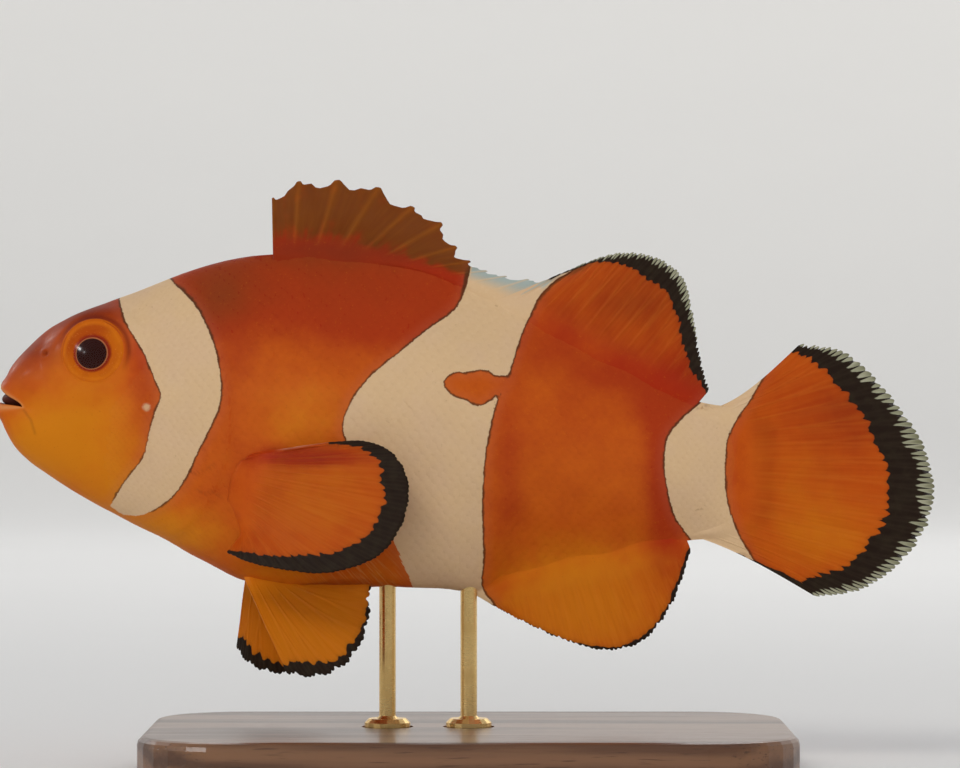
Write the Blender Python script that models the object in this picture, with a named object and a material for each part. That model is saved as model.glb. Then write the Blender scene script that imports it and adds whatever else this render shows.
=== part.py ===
"""A life-size clownfish, held over a wooden base on two brass rods.

The fish swims towards -X with its back up, so its left side faces -Y. Its shapes are given in millimetres,
as distance behind the snout and height above the body's axis. place() turns them into metres in the part's
frame, whose origin is the middle of the base's underside.
"""

import math

import bmesh
import bpy
from mathutils import Vector

MM = 0.001
FISH_LENGTH = 90.0  # snout to the rim of the tail fin
AXIS_HEIGHT = 32.0  # the body's axis above the floor
GAP = 0.3  # clearance between neighbouring pieces
TAIL_SWING = 3.2  # how far the rim of the tail fin stands off the middle plane
SWING_START = 42.0  # where the tail begins to swing, behind the snout

RING_POINTS = 32
RINGS_PER_STATION = 2
WAIST_LIFT = 0.04  # the widest level above mid-height, as a share of the depth
KEEL_POWER = 0.5

# Body stations: behind the snout, back, belly, half width, and how narrow the crest of the back is.
BODY = [
    (0.00, 4.6, 2.6, 1.1, 0.50),
    (0.12, 5.4, 1.9, 1.6, 0.50),
    (0.35, 6.1, 1.2, 2.0, 0.50),
    (0.95, 7.1, 0.0, 2.5, 0.50),
    (1.90, 8.2, -1.2, 3.0, 0.50),
    (3.80, 9.8, -2.7, 3.7, 0.50),
    (5.80, 11.0, -4.1, 4.3, 0.50),
    (8.60, 12.5, -5.9, 4.9, 0.50),
    (11.5, 13.75, -7.5, 5.35, 0.52),
    (15.0, 15.1, -9.2, 5.8, 0.56),
    (19.0, 16.6, -11.4, 6.2, 0.62),
    (23.0, 17.6, -13.4, 6.5, 0.68),
    (27.0, 18.0, -14.25, 6.6, 0.72),
    (32.0, 17.9, -14.3, 6.5, 0.74),
    (37.0, 17.3, -14.15, 6.25, 0.74),
    (42.0, 16.1, -14.35, 5.85, 0.74),
    (46.0, 14.5, -14.5, 5.4, 0.74),
    (49.5, 12.8, -13.5, 4.9, 0.74),
    (53.0, 10.9, -12.5, 4.35, 0.72),
    (57.6, 8.5, -11.6, 3.7, 0.70),
    (62.0, 6.5, -10.6, 3.1, 0.66),
    (66.0, 4.6, -9.7, 2.5, 0.60),
    (69.0, 3.6, -9.4, 1.9, 0.55),
    (71.5, 2.7, -8.7, 0.85, 0.50),
]

# Outlines on the side of the fish that part the body: behind the snout, height.
GILL_SLIT = [
    (17.5, 19.0), (19.6, 13.0), (21.7, 8.0), (22.6, 3.0), (22.2, -2.0),
    (20.0, -6.5), (15.8, -10.0), (11.0, -13.0),
]
PREOPERCLE = [(15.6, 8.6), (14.9, 5.0), (14.6, 1.0), (15.2, -3.0), (17.2, -6.0)]
JAW_LINE = [(-1.0, 4.1), (2.35, 3.1), (4.3, 0.2), (5.0, -3.0), (5.0, -8.0)]
MOUTH_OPENING = 1.1
TAIL_CUT = 60.0
COVER_DEPTH = 4.0  # the gill cover's flat inner side, off the middle plane
COVER_OVERRUN = 1.5  # its bed in the head runs out past the gill slit

EYE_PLACE = (9.25, 8.3)  # the middle of the pupil, behind the snout and height
EYE_RADIUS = 3.3
EYE_HALF_DEPTH = 2.1
EYE_SHOWS = 0.85  # how far the eyeball stands out of the cheek
EYE_LOOK = (-0.14, 0.20)  # the eyes look a little forward and up

# Fins run from roots to tips, each a smooth line of points from the fin's first ray to its last.
FIN_LIFT = 0.4  # the middle fins' roots stand this far off the body's ridge
SPINE_COUNT = 10
SPINY_DORSAL_ROOTS = (26.2, 45.9)
SPINY_DORSAL_TIPS = [
    (26.1, 23.4), (28.7, 25.0), (32.4, 25.1), (36.4, 24.4), (39.8, 22.6),
    (42.6, 20.9), (43.9, 18.6), (45.0, 17.2), (46.3, 17.0), (48.5, 16.6), (50.6, 16.1),
]
SOFT_DORSAL_ROOTS = (47.0, 67.0)
SOFT_DORSAL_TIPS = [
    (52.6, 15.2), (54.6, 16.5), (57.2, 17.7), (59.8, 18.1), (62.2, 17.9),
    (64.2, 16.8), (65.6, 15.1), (66.5, 12.9), (67.0, 10.2), (67.5, 7.4), (68.2, 4.9),
]
ANAL_ROOTS = (47.2, 65.8)
ANAL_TIPS = [
    (48.5, -16.4), (50.9, -17.8), (53.4, -19.0), (56.6, -20.0), (59.4, -20.2),
    (62.0, -19.2), (64.0, -16.9), (65.3, -14.2), (66.4, -10.7),
]
TAIL_ROOTS = [
    (69.3, 4.15), (71.0, 3.6), (72.0, 2.2), (72.1, -0.5), (72.15, -3.0), (72.1, -5.6),
    (72.0, -8.2), (71.0, -9.6), (69.3, -10.0),
]
TAIL_TIPS = [
    (77.3, 9.5), (81.8, 8.0), (85.8, 4.3), (88.7, 0.1), (90.0, -4.2),
    (89.3, -8.5), (86.5, -12.2), (83.0, -14.4), (78.8, -15.1),
]

# Paired fins also give how far out from the middle plane they stand.
PECTORAL_ROOTS = [(26.0, -0.9), (24.7, -2.0), (23.9, -4.2), (23.5, -6.9), (23.4, -9.2)]
PECTORAL_TIPS = [
    (35.6, -0.2, 8.6), (37.7, -0.8, 10.4), (39.0, -2.8, 11.5), (39.4, -5.4, 12.1), (38.7, -8.2, 12.3),
    (37.0, -10.4, 12.2), (34.4, -11.7, 11.9), (31.2, -12.3, 11.3), (27.6, -12.0, 10.4), (24.6, -11.4, 9.3),
    (22.2, -10.5, 8.2),
]
PELVIC_ROOTS = [(23.6, 2.3), (25.2, 1.9), (26.9, 1.5), (28.4, 1.1)]
PELVIC_TIPS = {
    "left": [
        (28.4, -22.4, 6.2), (30.6, -22.7, 5.9), (32.7, -22.0, 5.2), (34.6, -20.0, 4.2), (35.6, -16.2, 2.4),
    ],
    "right": [
        (23.2, -20.9, 7.0), (25.0, -22.2, 6.8), (27.4, -22.8, 6.0), (30.0, -21.9, 4.7), (32.6, -17.2, 2.6),
    ],
}
SIDES = {"left": -1, "right": 1}

# The stand.
BASE_SIZE = (62.0, 40.0, 4.5)
BASE_CORNER = 9.0
BASE_BEVEL = 0.8
ROD_PLACES = {"front": 37.2, "rear": 45.0}  # behind the snout
ROD_RADIUS = 0.8
ROD_INSERT = 3.0  # how far a rod goes up into the belly
FOOT_RADIUS = 2.2
FOOT_HEIGHT = 1.6
FOOT_SUNK = 0.8  # the rod's foot lies this deep in a recess of the base
FOOT_CHAMFER = 0.4
FOOT_FILLET = 0.25
ROUND_POINTS = 20


def material(name, colour, roughness, metallic=0.0):
    made = bpy.data.materials.new(name)
    made.use_nodes = True
    shader = made.node_tree.nodes["Principled BSDF"]
    shader.inputs["Base Color"].default_value = (*colour, 1.0)
    shader.inputs["Roughness"].default_value = roughness
    shader.inputs["Metallic"].default_value = metallic
    return made


def smooth(rows, t):
    """The row at t, from 0 to 1, on a smooth curve through all the rows."""
    last = len(rows) - 1
    i = min(int(t * last), last - 1)
    f = t * last - i
    a, b, c, d = (rows[max(0, min(last, i + k))] for k in (-1, 0, 1, 2))
    return tuple(
        0.5 * (2 * q + (r - p) * f + (2 * p - 5 * q + 4 * r - w) * f**2 + (3 * q - p - 3 * r + w) * f**3)
        for p, q, r, w in zip(a, b, c, d)
    )


def body_at(behind):
    """The body station at a distance behind the snout, by halving."""
    low, high = 0.0, 1.0
    for _ in range(30):
        t = (low + high) / 2
        if smooth(BODY, t)[0] < behind:
            low = t
        else:
            high = t
    return smooth(BODY, low)


def waist(back, belly):
    return (back + belly) / 2 + WAIST_LIFT * (back - belly)


def flank_out(behind, height):
    """How far the flank stands out from the middle plane at a place on the side."""
    _, back, belly, half, crest = body_at(behind)
    mid = waist(back, belly)
    rise = (height - mid) / ((back - mid) if height > mid else (mid - belly))
    power = crest if height > mid else KEEL_POWER
    return half * max(0.0, 1 - rise * rise) ** power


def belly_height(behind, out):
    """The height of the belly's surface at a distance out from the middle plane."""
    _, back, belly, half, _ = body_at(behind)
    mid = waist(back, belly)
    return mid - (mid - belly) * math.sqrt(1 - (out / half) ** (1 / KEEL_POWER))


def place(behind, out, height):
    """A place on the fish as a point in the part's frame, with the tail's swing."""
    swing = TAIL_SWING * (max(0.0, behind - SWING_START) / (FISH_LENGTH - SWING_START)) ** 2
    return Vector((behind - FISH_LENGTH / 2, out + swing, height + AXIS_HEIGHT)) * MM


def new_object(name, shape, finish=None):
    """A bmesh as an object, its faces turned outwards and its round stretches shaded smooth."""
    bmesh.ops.recalc_face_normals(shape, faces=shape.faces)
    mesh = bpy.data.meshes.new(name)
    shape.to_mesh(mesh)
    shape.free()
    made = bpy.data.objects.new(name, mesh)
    bpy.context.scene.collection.objects.link(made)
    if finish:
        mesh.materials.append(finish)
    mesh.shade_smooth()
    mesh.set_sharp_from_angle(angle=math.radians(35))
    return made


def as_cutter(made):
    made.hide_render = True
    made.display_type = "WIRE"
    return made


def loft(name, rings, finish):
    """A closed body whose skin runs through rings of points."""
    shape = bmesh.new()
    before = []
    for ring in rings:
        corners = bmesh.ops.create_circle(shape, segments=len(ring), radius=1.0)["verts"]
        for corner, point in zip(corners, ring):
            corner.co = point
        edges = list({edge for corner in corners for edge in corner.link_edges})
        if before:
            bmesh.ops.bridge_loops(shape, edges=before + edges)
        before = edges
    bmesh.ops.holes_fill(shape, edges=shape.edges, sides=RING_POINTS)
    return new_object(name, shape, finish)


def body_ring(row):
    behind, back, belly, half, crest = row
    mid = waist(back, belly)
    ring = []
    for k in range(RING_POINTS):
        angle = 2 * math.pi * k / RING_POINTS
        rise, across = math.sin(angle), math.cos(angle)
        power = crest if rise > 0 else KEEL_POWER
        height = mid + rise * ((back - mid) if rise > 0 else (mid - belly))
        ring.append(place(behind, half * math.copysign(abs(across) ** (2 * power), across), height))
    return ring


def whole_body(name, finish):
    steps = (len(BODY) - 1) * RINGS_PER_STATION
    return loft(name, [body_ring(smooth(BODY, step / steps)) for step in range(steps + 1)], finish)


def region(name, outline, inner=-20.0, outer=20.0):
    """A cutter: an outline on the side of the fish, from one distance off the middle plane to another."""
    shape = bmesh.new()
    corners = [(behind - FISH_LENGTH / 2, inner, height + AXIS_HEIGHT) for behind, height in outline]
    side = shape.faces.new([shape.verts.new(Vector(corner) * MM) for corner in corners])
    grown = bmesh.ops.extrude_face_region(shape, geom=[side])["geom"]
    moving = [piece for piece in grown if isinstance(piece, bmesh.types.BMVert)]
    bmesh.ops.translate(shape, verts=moving, vec=Vector((0, outer - inner, 0)) * MM)
    return as_cutter(new_object(name, shape))


def moved(line, along=0.0, up=0.0):
    return [(behind + along, height + up) for behind, height in line]


def taller(outline, gap):
    """An outline with its upper points raised and its lower points lowered."""
    middle = sum(height for _, height in outline) / len(outline)
    return [(behind, height + math.copysign(gap, height - middle)) for behind, height in outline]


def curve_through(line, count):
    return [smooth(line, k / (count - 1)) for k in range(count)]


def boolean(made, cutter, operation):
    modifier = made.modifiers.new(cutter.name, "BOOLEAN")
    modifier.object = cutter
    modifier.operation = operation


def body_piece(name, finish, inside, outside=()):
    """A piece of the whole body: what lies in one region and in none of the others."""
    made = whole_body(name, finish)
    boolean(made, inside, "INTERSECT")
    for cutter in outside:
        boolean(made, cutter, "DIFFERENCE")
    return made


def ball(name, side, grow=0.0):
    """An eyeball, a little flat from side to side, or with some growth the socket that it lies in."""
    bpy.ops.mesh.primitive_uv_sphere_add(segments=20, ring_count=12, radius=1)
    made = bpy.context.object
    made.name = name
    behind, height = EYE_PLACE
    look = Vector((EYE_LOOK[0], side, EYE_LOOK[1])).normalized()
    front = place(behind, side * flank_out(behind, height), height)
    centre = front - look * (EYE_HALF_DEPTH - EYE_SHOWS) * MM
    # The sphere's pole turns to face the way that the eye looks.
    turn = look.to_track_quat("Z", "Y")
    size = Vector((EYE_RADIUS, EYE_RADIUS, EYE_HALF_DEPTH)) + Vector((grow, grow, grow))
    for vertex in made.data.vertices:
        vertex.co = centre + turn @ (vertex.co * size) * MM
    made.data.shade_smooth()
    return made


def cut_lower_jaw(skin):
    """The lower jaw. It returns the cutter that clears the head round it and opens the mouth."""
    body_piece("lower_jaw", skin, region("cut_jaw", JAW_LINE + [(-1.0, JAW_LINE[-1][1])]))
    lip, *corner, chin = JAW_LINE
    clear = moved([lip], up=MOUTH_OPENING) + moved(corner + [chin], GAP, GAP) + moved([chin], GAP, -1.0)
    return region("cut_around_jaw", clear + [(-1.0, chin[1] - 1.0)])


def cut_gill_covers(skin, slit):
    """Both gill covers. It returns the cutters that make their beds in the head."""
    front = curve_through(PREOPERCLE, 8)
    rear = [point for point in reversed(slit) if PREOPERCLE[-1][1] < point[1] < PREOPERCLE[0][1]]
    beds = []
    for name, side in SIDES.items():
        cover = region(f"cut_cover_{name}", front + moved(rear, -GAP), side * COVER_DEPTH, side * 20.0)
        body_piece(f"gill_cover_{name}", skin, cover)
        bed = taller(moved(front, -GAP) + moved(rear, COVER_OVERRUN), GAP)
        beds.append(region(f"cut_bed_{name}", bed, side * (COVER_DEPTH - GAP), side * 20.0))
    return beds


def body_pieces(skin):
    """The head, its jaw and gill covers, the trunk and the tail, parted by thin cuts."""
    slit = curve_through(GILL_SLIT, 15)
    above, below = 24.0, -22.0
    cuts = [cut_lower_jaw(skin)] + cut_gill_covers(skin, slit)
    cuts += [as_cutter(ball(f"cut_eye_{name}", side, GAP)) for name, side in SIDES.items()]
    body_piece("head", skin, region("cut_head", [(-3.0, below), (-3.0, above)] + slit), cuts)
    middle = moved(slit, GAP) + [(TAIL_CUT, below), (TAIL_CUT, above)]
    holes = [rod_hole(f"cut_hole_{name}", behind) for name, behind in ROD_PLACES.items()]
    body_piece("trunk", skin, region("cut_trunk", middle), holes)
    front, rear = TAIL_CUT + GAP, FISH_LENGTH
    stem = [(front, below), (rear, below), (rear, above), (front, above)]
    body_piece("tail_stem", skin, region("cut_tail", stem))


def fin(name, finish, roots, tips, columns, rows, thickness, bow=0.0, notch=0.0):
    """A fin from roots to tips, thinner towards the tips. Each point is behind, out and height.

    bow lifts the middle of every ray off the straight line, and notch cuts the rim in between the spines.
    """
    at_root, at_tip = thickness
    shape = bmesh.new()
    bmesh.ops.create_grid(shape, x_segments=columns, y_segments=rows, size=0.5)
    weight = shape.verts.layers.deform.new()
    for corner in shape.verts:
        across, along = corner.co.x + 0.5, corner.co.y + 0.5
        root, tip = Vector(smooth(roots, across)), Vector(smooth(tips, across))
        if round(across * columns) % 2:
            tip = root.lerp(tip, 1 - notch)
        point = root.lerp(tip, along)
        point.y += bow * math.sin(math.pi * along)
        corner.co = place(*point)
        corner[weight][0] = 1 + (at_tip / at_root - 1) * along
    made = new_object(name, shape, finish)
    group = made.vertex_groups.new(name="thickness")
    solid = made.modifiers.new("Solidify", "SOLIDIFY")
    solid.thickness = at_root * MM
    solid.offset = 0.0
    solid.vertex_group = group.name
    return made


def on_middle(line):
    return [(behind, 0.0, height) for behind, height in line]


def ridge(first, last, lift, upper):
    """Points along the back or the belly, just off its surface, for a fin to stand on."""
    count = 8
    line = []
    for k in range(count):
        behind = first + (last - first) * k / (count - 1)
        _, back, belly, _, _ = body_at(behind)
        line.append((behind, 0.0, (back if upper else belly) + lift))
    return line


def middle_fins(finish):
    thickness = (1.0, 0.5)
    spiny = ridge(*SPINY_DORSAL_ROOTS, FIN_LIFT, upper=True)
    spines = on_middle(SPINY_DORSAL_TIPS)
    fin("fin_dorsal_spiny", finish, spiny, spines, 2 * SPINE_COUNT, 3, thickness, notch=0.1)
    soft = ridge(*SOFT_DORSAL_ROOTS, FIN_LIFT, upper=True)
    fin("fin_dorsal_soft", finish, soft, on_middle(SOFT_DORSAL_TIPS), 18, 4, thickness)
    anal = ridge(*ANAL_ROOTS, -FIN_LIFT, upper=False)
    fin("fin_anal", finish, anal, on_middle(ANAL_TIPS), 16, 4, thickness)
    fin("fin_tail", finish, on_middle(TAIL_ROOTS), on_middle(TAIL_TIPS), 22, 5, thickness)


def paired_fins(finish):
    for side_name, side in SIDES.items():
        roots = [
            (behind, side * (flank_out(behind, height) + 0.85), height) for behind, height in PECTORAL_ROOTS
        ]
        tips = [(behind, side * out, height) for behind, height, out in PECTORAL_TIPS]
        fin(f"fin_pectoral_{side_name}", finish, roots, tips, 20, 4, (0.9, 0.5), bow=side * 0.5)
        roots = [(behind, side * out, belly_height(behind, out) - 0.75) for behind, out in PELVIC_ROOTS]
        tips = [(behind, side * out, height) for behind, height, out in PELVIC_TIPS[side_name]]
        fin(f"fin_pelvic_{side_name}", finish, roots, tips, 12, 4, (0.9, 0.5), bow=side * 0.4)


def turned(name, profile, foot, finish=None):
    """A round piece on an upright axis, from a profile of radius and height, bottom to top."""
    shape = bmesh.new()
    line = [shape.verts.new(foot + Vector((radius, 0, height)) * MM) for radius, height in profile]
    edges = [shape.edges.new(pair) for pair in zip(line, line[1:])]
    turn = {"cent": foot, "axis": (0, 0, 1), "angle": 2 * math.pi, "steps": ROUND_POINTS}
    bmesh.ops.spin(shape, geom=line + edges, use_merge=True, **turn)
    bmesh.ops.holes_fill(shape, edges=shape.edges, sides=ROUND_POINTS)
    return new_object(name, shape, finish)


def rod_foot(behind):
    """The foot of a rod's axis, on the floor under the belly."""
    above = place(behind, 0.0, 0.0)
    return Vector((above.x, above.y, 0.0))


def rod_top(behind):
    return body_at(behind)[2] + AXIS_HEIGHT + ROD_INSERT


def rod_hole(name, behind):
    top = rod_top(behind)
    profile = [(ROD_RADIUS + GAP, top - 2 * ROD_INSERT), (ROD_RADIUS + GAP, top + GAP)]
    return as_cutter(turned(name, profile, rod_foot(behind)))


def level_edges(shape, height):
    return [edge for edge in shape.edges if all(abs(end.co.z - height) < 0.1 * MM for end in edge.verts)]


def stand_base(wood):
    """A wooden block with round corners and a soft upper edge, standing on the floor."""
    length, depth, height = BASE_SIZE
    shape = bmesh.new()
    bmesh.ops.create_cube(shape, size=1.0)
    bmesh.ops.translate(shape, verts=shape.verts, vec=(0, 0, 0.5))
    bmesh.ops.scale(shape, verts=shape.verts, vec=Vector((length, depth, height)) * MM)
    upright = [edge for edge in shape.edges if abs(edge.verts[0].co.z - edge.verts[1].co.z) > MM]
    bmesh.ops.bevel(shape, geom=upright, offset=BASE_CORNER * MM, segments=7, profile=0.5, affect="EDGES")
    rim = level_edges(shape, height * MM)
    bmesh.ops.bevel(shape, geom=rim, offset=BASE_BEVEL * MM, segments=3, profile=0.5, affect="EDGES")
    return new_object("stand_base", shape, wood)


def stand(wood, brass):
    """The base and two brass rods, each with a foot let into the base."""
    base = stand_base(wood)
    floor = BASE_SIZE[2] - FOOT_SUNK
    for name, behind in ROD_PLACES.items():
        recess = [(FOOT_RADIUS + GAP, floor - GAP), (FOOT_RADIUS + GAP, floor + 2 * FOOT_HEIGHT)]
        boolean(base, as_cutter(turned(f"cut_recess_{name}", recess, rod_foot(behind))), "DIFFERENCE")
        foot_top = floor + FOOT_HEIGHT
        profile = [
            (FOOT_RADIUS, floor),
            (FOOT_RADIUS, foot_top - FOOT_CHAMFER),
            (FOOT_RADIUS - FOOT_CHAMFER, foot_top),
            (ROD_RADIUS + FOOT_FILLET, foot_top),
            (ROD_RADIUS, foot_top + FOOT_FILLET),
            (ROD_RADIUS, rod_top(behind)),
        ]
        turned(f"stand_rod_{name}", profile, rod_foot(behind), brass)


def main():
    for old in list(bpy.data.objects):
        bpy.data.objects.remove(old)
    skin = material("fish_skin", (0.62, 0.16, 0.01), 0.4)
    fins = material("fish_fin", (0.62, 0.22, 0.02), 0.45)
    eye = material("fish_eye", (0.03, 0.015, 0.01), 0.08)
    wood = material("stand_wood", (0.10, 0.045, 0.02), 0.4)
    brass = material("stand_brass", (0.75, 0.55, 0.25), 0.3, 1.0)
    body_pieces(skin)
    for side_name, side in SIDES.items():
        ball(f"eye_{side_name}", side).data.materials.append(eye)
    middle_fins(fins)
    paired_fins(fins)
    stand(wood, brass)


main()
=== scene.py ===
"""A life-size clownfish held over a walnut base, finished for a museum case.

The fish swims towards -X and its left side faces -Y. Its shapes are given in millimetres: how far behind
the snout, how far out to the side, and how far above the body's axis. settle() turns these into metres in
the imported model's frame, with the swing of the tail.
"""

import contextlib
import functools
import math

import bpy
import numpy as np
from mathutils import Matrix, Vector


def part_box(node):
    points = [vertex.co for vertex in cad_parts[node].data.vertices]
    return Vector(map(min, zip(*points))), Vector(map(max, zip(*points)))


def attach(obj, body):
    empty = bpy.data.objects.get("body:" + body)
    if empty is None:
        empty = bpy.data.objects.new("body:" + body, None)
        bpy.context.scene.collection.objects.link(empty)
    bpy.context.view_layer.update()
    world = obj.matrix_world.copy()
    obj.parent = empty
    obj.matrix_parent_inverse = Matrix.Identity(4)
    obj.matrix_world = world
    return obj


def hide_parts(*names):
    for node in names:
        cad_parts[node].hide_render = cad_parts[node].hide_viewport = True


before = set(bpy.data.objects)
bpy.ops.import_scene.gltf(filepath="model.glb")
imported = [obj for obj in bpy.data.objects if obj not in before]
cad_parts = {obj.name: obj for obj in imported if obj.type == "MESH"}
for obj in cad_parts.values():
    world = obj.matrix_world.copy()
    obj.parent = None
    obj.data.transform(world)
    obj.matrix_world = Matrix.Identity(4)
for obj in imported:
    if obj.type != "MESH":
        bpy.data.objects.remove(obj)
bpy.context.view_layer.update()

MM = 0.001
SIDES = {"left": -1, "right": 1}
TAIL_SWING = 3.2  # how far the rim of the tail fin stands off the middle plane
SWING_START = 42
COAT = 0.1  # the skin lies this far inside the body's outline, for the scales
WAIST_LIFT = 0.04
# How narrow the belly's keel is along the body: behind the snout, power.
KEEL = [(20, 0.5), (44, 0.55), (50, 1.3), (65, 1.3), (68.5, 0.8), (72, 0.6)]

# Body stations: behind the snout, back, belly, half width, and how narrow the crest of the back is.
BODY = [
    (8.9, 12.72, -6.05, 4.95, 0.5),
    (11.5, 13.75, -7.5, 5.35, 0.52),
    (15, 15.1, -9.2, 5.8, 0.56),
    (19, 16.6, -11.4, 6.2, 0.62),
    (23, 17.6, -13.4, 6.5, 0.72),
    (27, 18, -14.25, 6.6, 1),
    (32, 17.9, -14.3, 6.5, 1.22),
    (37, 17.3, -14.15, 6.25, 1.32),
    (42, 16.1, -14.35, 5.85, 1.38),
    (46, 14.5, -14.5, 5.4, 1.45),
    (49.5, 12.8, -13.5, 4.9, 1.5),
    (53, 10.9, -12.5, 4.35, 1.55),
    (57.6, 8.5, -11.6, 3.7, 1.55),
    (62, 6.5, -10.6, 3.1, 1.4),
    (66, 4.2, -9.75, 2.4, 0.95),
    (68.6, 3.5, -9.6, 1.6, 0.6),
    (71.2, 3.1, -9.3, 0.85, 0.55),
    (73.4, 2.3, -8.5, 0.36, 0.5),
    (74.6, 1.6, -7.6, 0.1, 0.5),
]

# Rings from the throat out over the lips and back to the cheeks. Each gives where it passes the middle
# plane above and below, and its corner at the side, as behind and height; then the half width at the
# corner, how narrow its top is, and how squarely it wraps round the front.
FACE = [
    (5.5, 3.6, 5.5, 2.4, 5.5, 3, 0.8, 0.5, 2),
    (4.2, 5, 4.2, 1.9, 4.5, 3.2, 1.9, 0.5, 2),
    (2.2, 5.7, 2.2, 2.4, 3.2, 3.2, 2.4, 0.5, 4),
    (0.9, 5.55, 0.9, 3, 2.65, 3.2, 2.5, 0.5, 6),
    (0.48, 5.15, 0.4, 3.42, 2.45, 3.2, 2.58, 0.5, 6),
    (0.34, 5.1, 0.06, 3.62, 2.38, 3.2, 2.72, 0.5, 6),
    (0.17, 5.33, -0.12, 3.25, 2.42, 3.18, 2.86, 0.5, 6),
    (0.25, 5.66, -0.1, 2.75, 2.58, 3.16, 2.98, 0.5, 6),
    (0.45, 5.92, 0.04, 2.25, 2.78, 3.14, 3.04, 0.5, 6),
    (0.72, 6.3, 0.28, 1.8, 3.05, 3.12, 3.16, 0.5, 6),
    (1.05, 6.92, 0.62, 0.95, 3.45, 3.12, 3.38, 0.5, 5),
    (1.92, 8.05, 1.45, -0.65, 4.15, 3.15, 3.72, 0.5, 4),
    (3.1, 9.28, 2.7, -1.95, 5.1, 3.22, 4.08, 0.5, 3),
    (4.8, 10.68, 4.5, -3.2, 6.3, 3.35, 4.42, 0.5, 2.5),
    (6.7, 11.76, 6.6, -4.65, 7.6, 3.7, 4.72, 0.5, 2),
]
LIP_RING = 5  # the ring of FACE on the lips' inner edge

EYE_PLACE = (9.35, 8.5)
EYE_LOOK = (-0.14, 1, 0.2)
EYE_OPEN = 2.95  # radius of the opening between the lids
EYE_CUT = 0.12  # the skin is first cut this much wider
EYE_NEAR = 3  # skin that is further along the eye's axis than this belongs to the other side
EYE_FLARE = 2.6  # the cheek rises to the eye over this width round the opening
EYE_LIFT = 0.25  # the opening stands this far off the smooth flank

GILL_SLIT = [
    (17.5, 19), (19.6, 13), (21.7, 8), (22.6, 3), (22.2, -2), (20, -6.5), (15.8, -10),
    (11, -13),
]
PREOPERCLE = [
    (14.2, 10), (15.2, 7), (15.1, 3), (14.8, -1), (15, -4), (13.4, -6.6), (10, -6.9),
]
INTEROPERCLE = [(15.2, -4.2), (17.6, -4.9), (20.8, -4.2)]
JAW_FOLD = [(2.6, 2.9), (3.3, 2), (3.7, 0.7)]
CHEEK_EDGE = [(6.3, 6.6), (6.9, 4.4), (8.9, 3.4), (11.4, 4.4), (13.4, 7.2)]
NOSTRIL = (4.7, 8.3)
PECTORAL_MUSCLE = (24.3, -5.2)
CHEEK = (13, 1.5)


# --- Small helpers for shape ---


def spline(knots, rows, at):
    """Rows at chosen places on a smooth curve that passes through the given rows at the knots."""
    knots, rows, at = np.asarray(knots, float), np.asarray(rows, float), np.asarray(at, float)
    slopes = np.gradient(rows, knots, axis=0)
    i = np.clip(np.searchsorted(knots, at, side="right") - 1, 0, len(knots) - 2)
    gap = (knots[i + 1] - knots[i])[..., None]
    f = (at - knots[i])[..., None] / gap
    start = rows[i] * (1 + 2 * f) * (1 - f) ** 2 + slopes[i] * gap * f * (1 - f) ** 2
    end = rows[i + 1] * (3 - 2 * f) * f**2 + slopes[i + 1] * gap * f**2 * (f - 1)
    return start + end


def through(points, count):
    """Evenly spread places on the smooth curve through points."""
    points = np.asarray(points, float)
    reach = np.r_[0, np.cumsum(np.linalg.norm(np.diff(points, axis=0), axis=1))]
    return spline(reach / reach[-1], points, np.linspace(0, 1, count))


def read_off(points, at):
    """Values at chosen places, on straight lines through points of place and value."""
    return np.interp(at, *np.array(points).T)


def ramp(value, low, high):
    """0 below low and 1 above high, with an easy curve between."""
    f = np.clip((value - low) / (high - low), 0, 1)
    return f * f * (3 - 2 * f)


def hump(value, width):
    return np.exp(-((value / width) ** 2))


def from_spot(behind, height, spot):
    return np.hypot(behind - spot[0], height - spot[1])


def beside(behind, height, line, closed=False):
    """Signed distance from a line on the side of the fish, and the share of the line that is nearest.

    The distance is positive behind a line that is drawn downwards, and inside an outline drawn clockwise.
    """
    line = np.asarray(line, float)
    if closed:
        line = np.vstack([line, line[:1]])
    nearest = np.full(np.shape(behind), np.inf)
    sign, share = np.ones(np.shape(behind)), np.zeros(np.shape(behind))
    inside = np.zeros(np.shape(behind), bool)
    count = len(line) - 1
    for k in range(count):
        (a, b), (c, d) = line[k], line[k + 1]
        run, rise = c - a, d - b
        f = np.clip(((behind - a) * run + (height - b) * rise) / max(run * run + rise * rise, 1e-12), 0, 1)
        away = np.hypot(behind - a - f * run, height - b - f * rise)
        closer = away < nearest
        nearest = np.where(closer, away, nearest)
        side = run * (height - b) - rise * (behind - a)
        sign = np.where(closer, np.where(side >= 0, 1, -1), sign)
        share = np.where(closer, (k + f) / count, share)
        crosses = (b > height) != (d > height)
        with np.errstate(divide="ignore", invalid="ignore"):
            inside ^= crosses & (behind < a + (height - b) / (rise if rise else 1e-12) * run)
    if closed:
        sign = np.where(inside, 1, -1)
    return nearest * sign, share


# --- Where the fish is ---

SNOUT_X = min(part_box("head")[0].x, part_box("lower_jaw")[0].x)
LENGTH = (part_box("fin_tail")[1].x - SNOUT_X) / MM
BACK_TOP = spline([row[0] for row in BODY], [row[1:2] for row in BODY], np.linspace(20, 35, 151)).max()
AXIS_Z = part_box("trunk")[1].z - BACK_TOP * MM


def swing(behind):
    return TAIL_SWING * (np.maximum(0, behind - SWING_START) / (LENGTH - SWING_START)) ** 2


def settle(places):
    """Places on the fish, in millimetres, as points of the frame in metres."""
    behind, out, height = np.moveaxis(np.asarray(places, float), -1, 0)
    return np.stack([SNOUT_X + behind * MM, (out + swing(behind)) * MM, AXIS_Z + height * MM], axis=-1)


def on_fish(points):
    """Points of the frame as places on the fish: the reverse of settle()."""
    behind = (points[..., 0] - SNOUT_X) / MM
    return np.stack([behind, points[..., 1] / MM - swing(behind), (points[..., 2] - AXIS_Z) / MM], axis=-1)


# --- Small helpers for meshes ---


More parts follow.
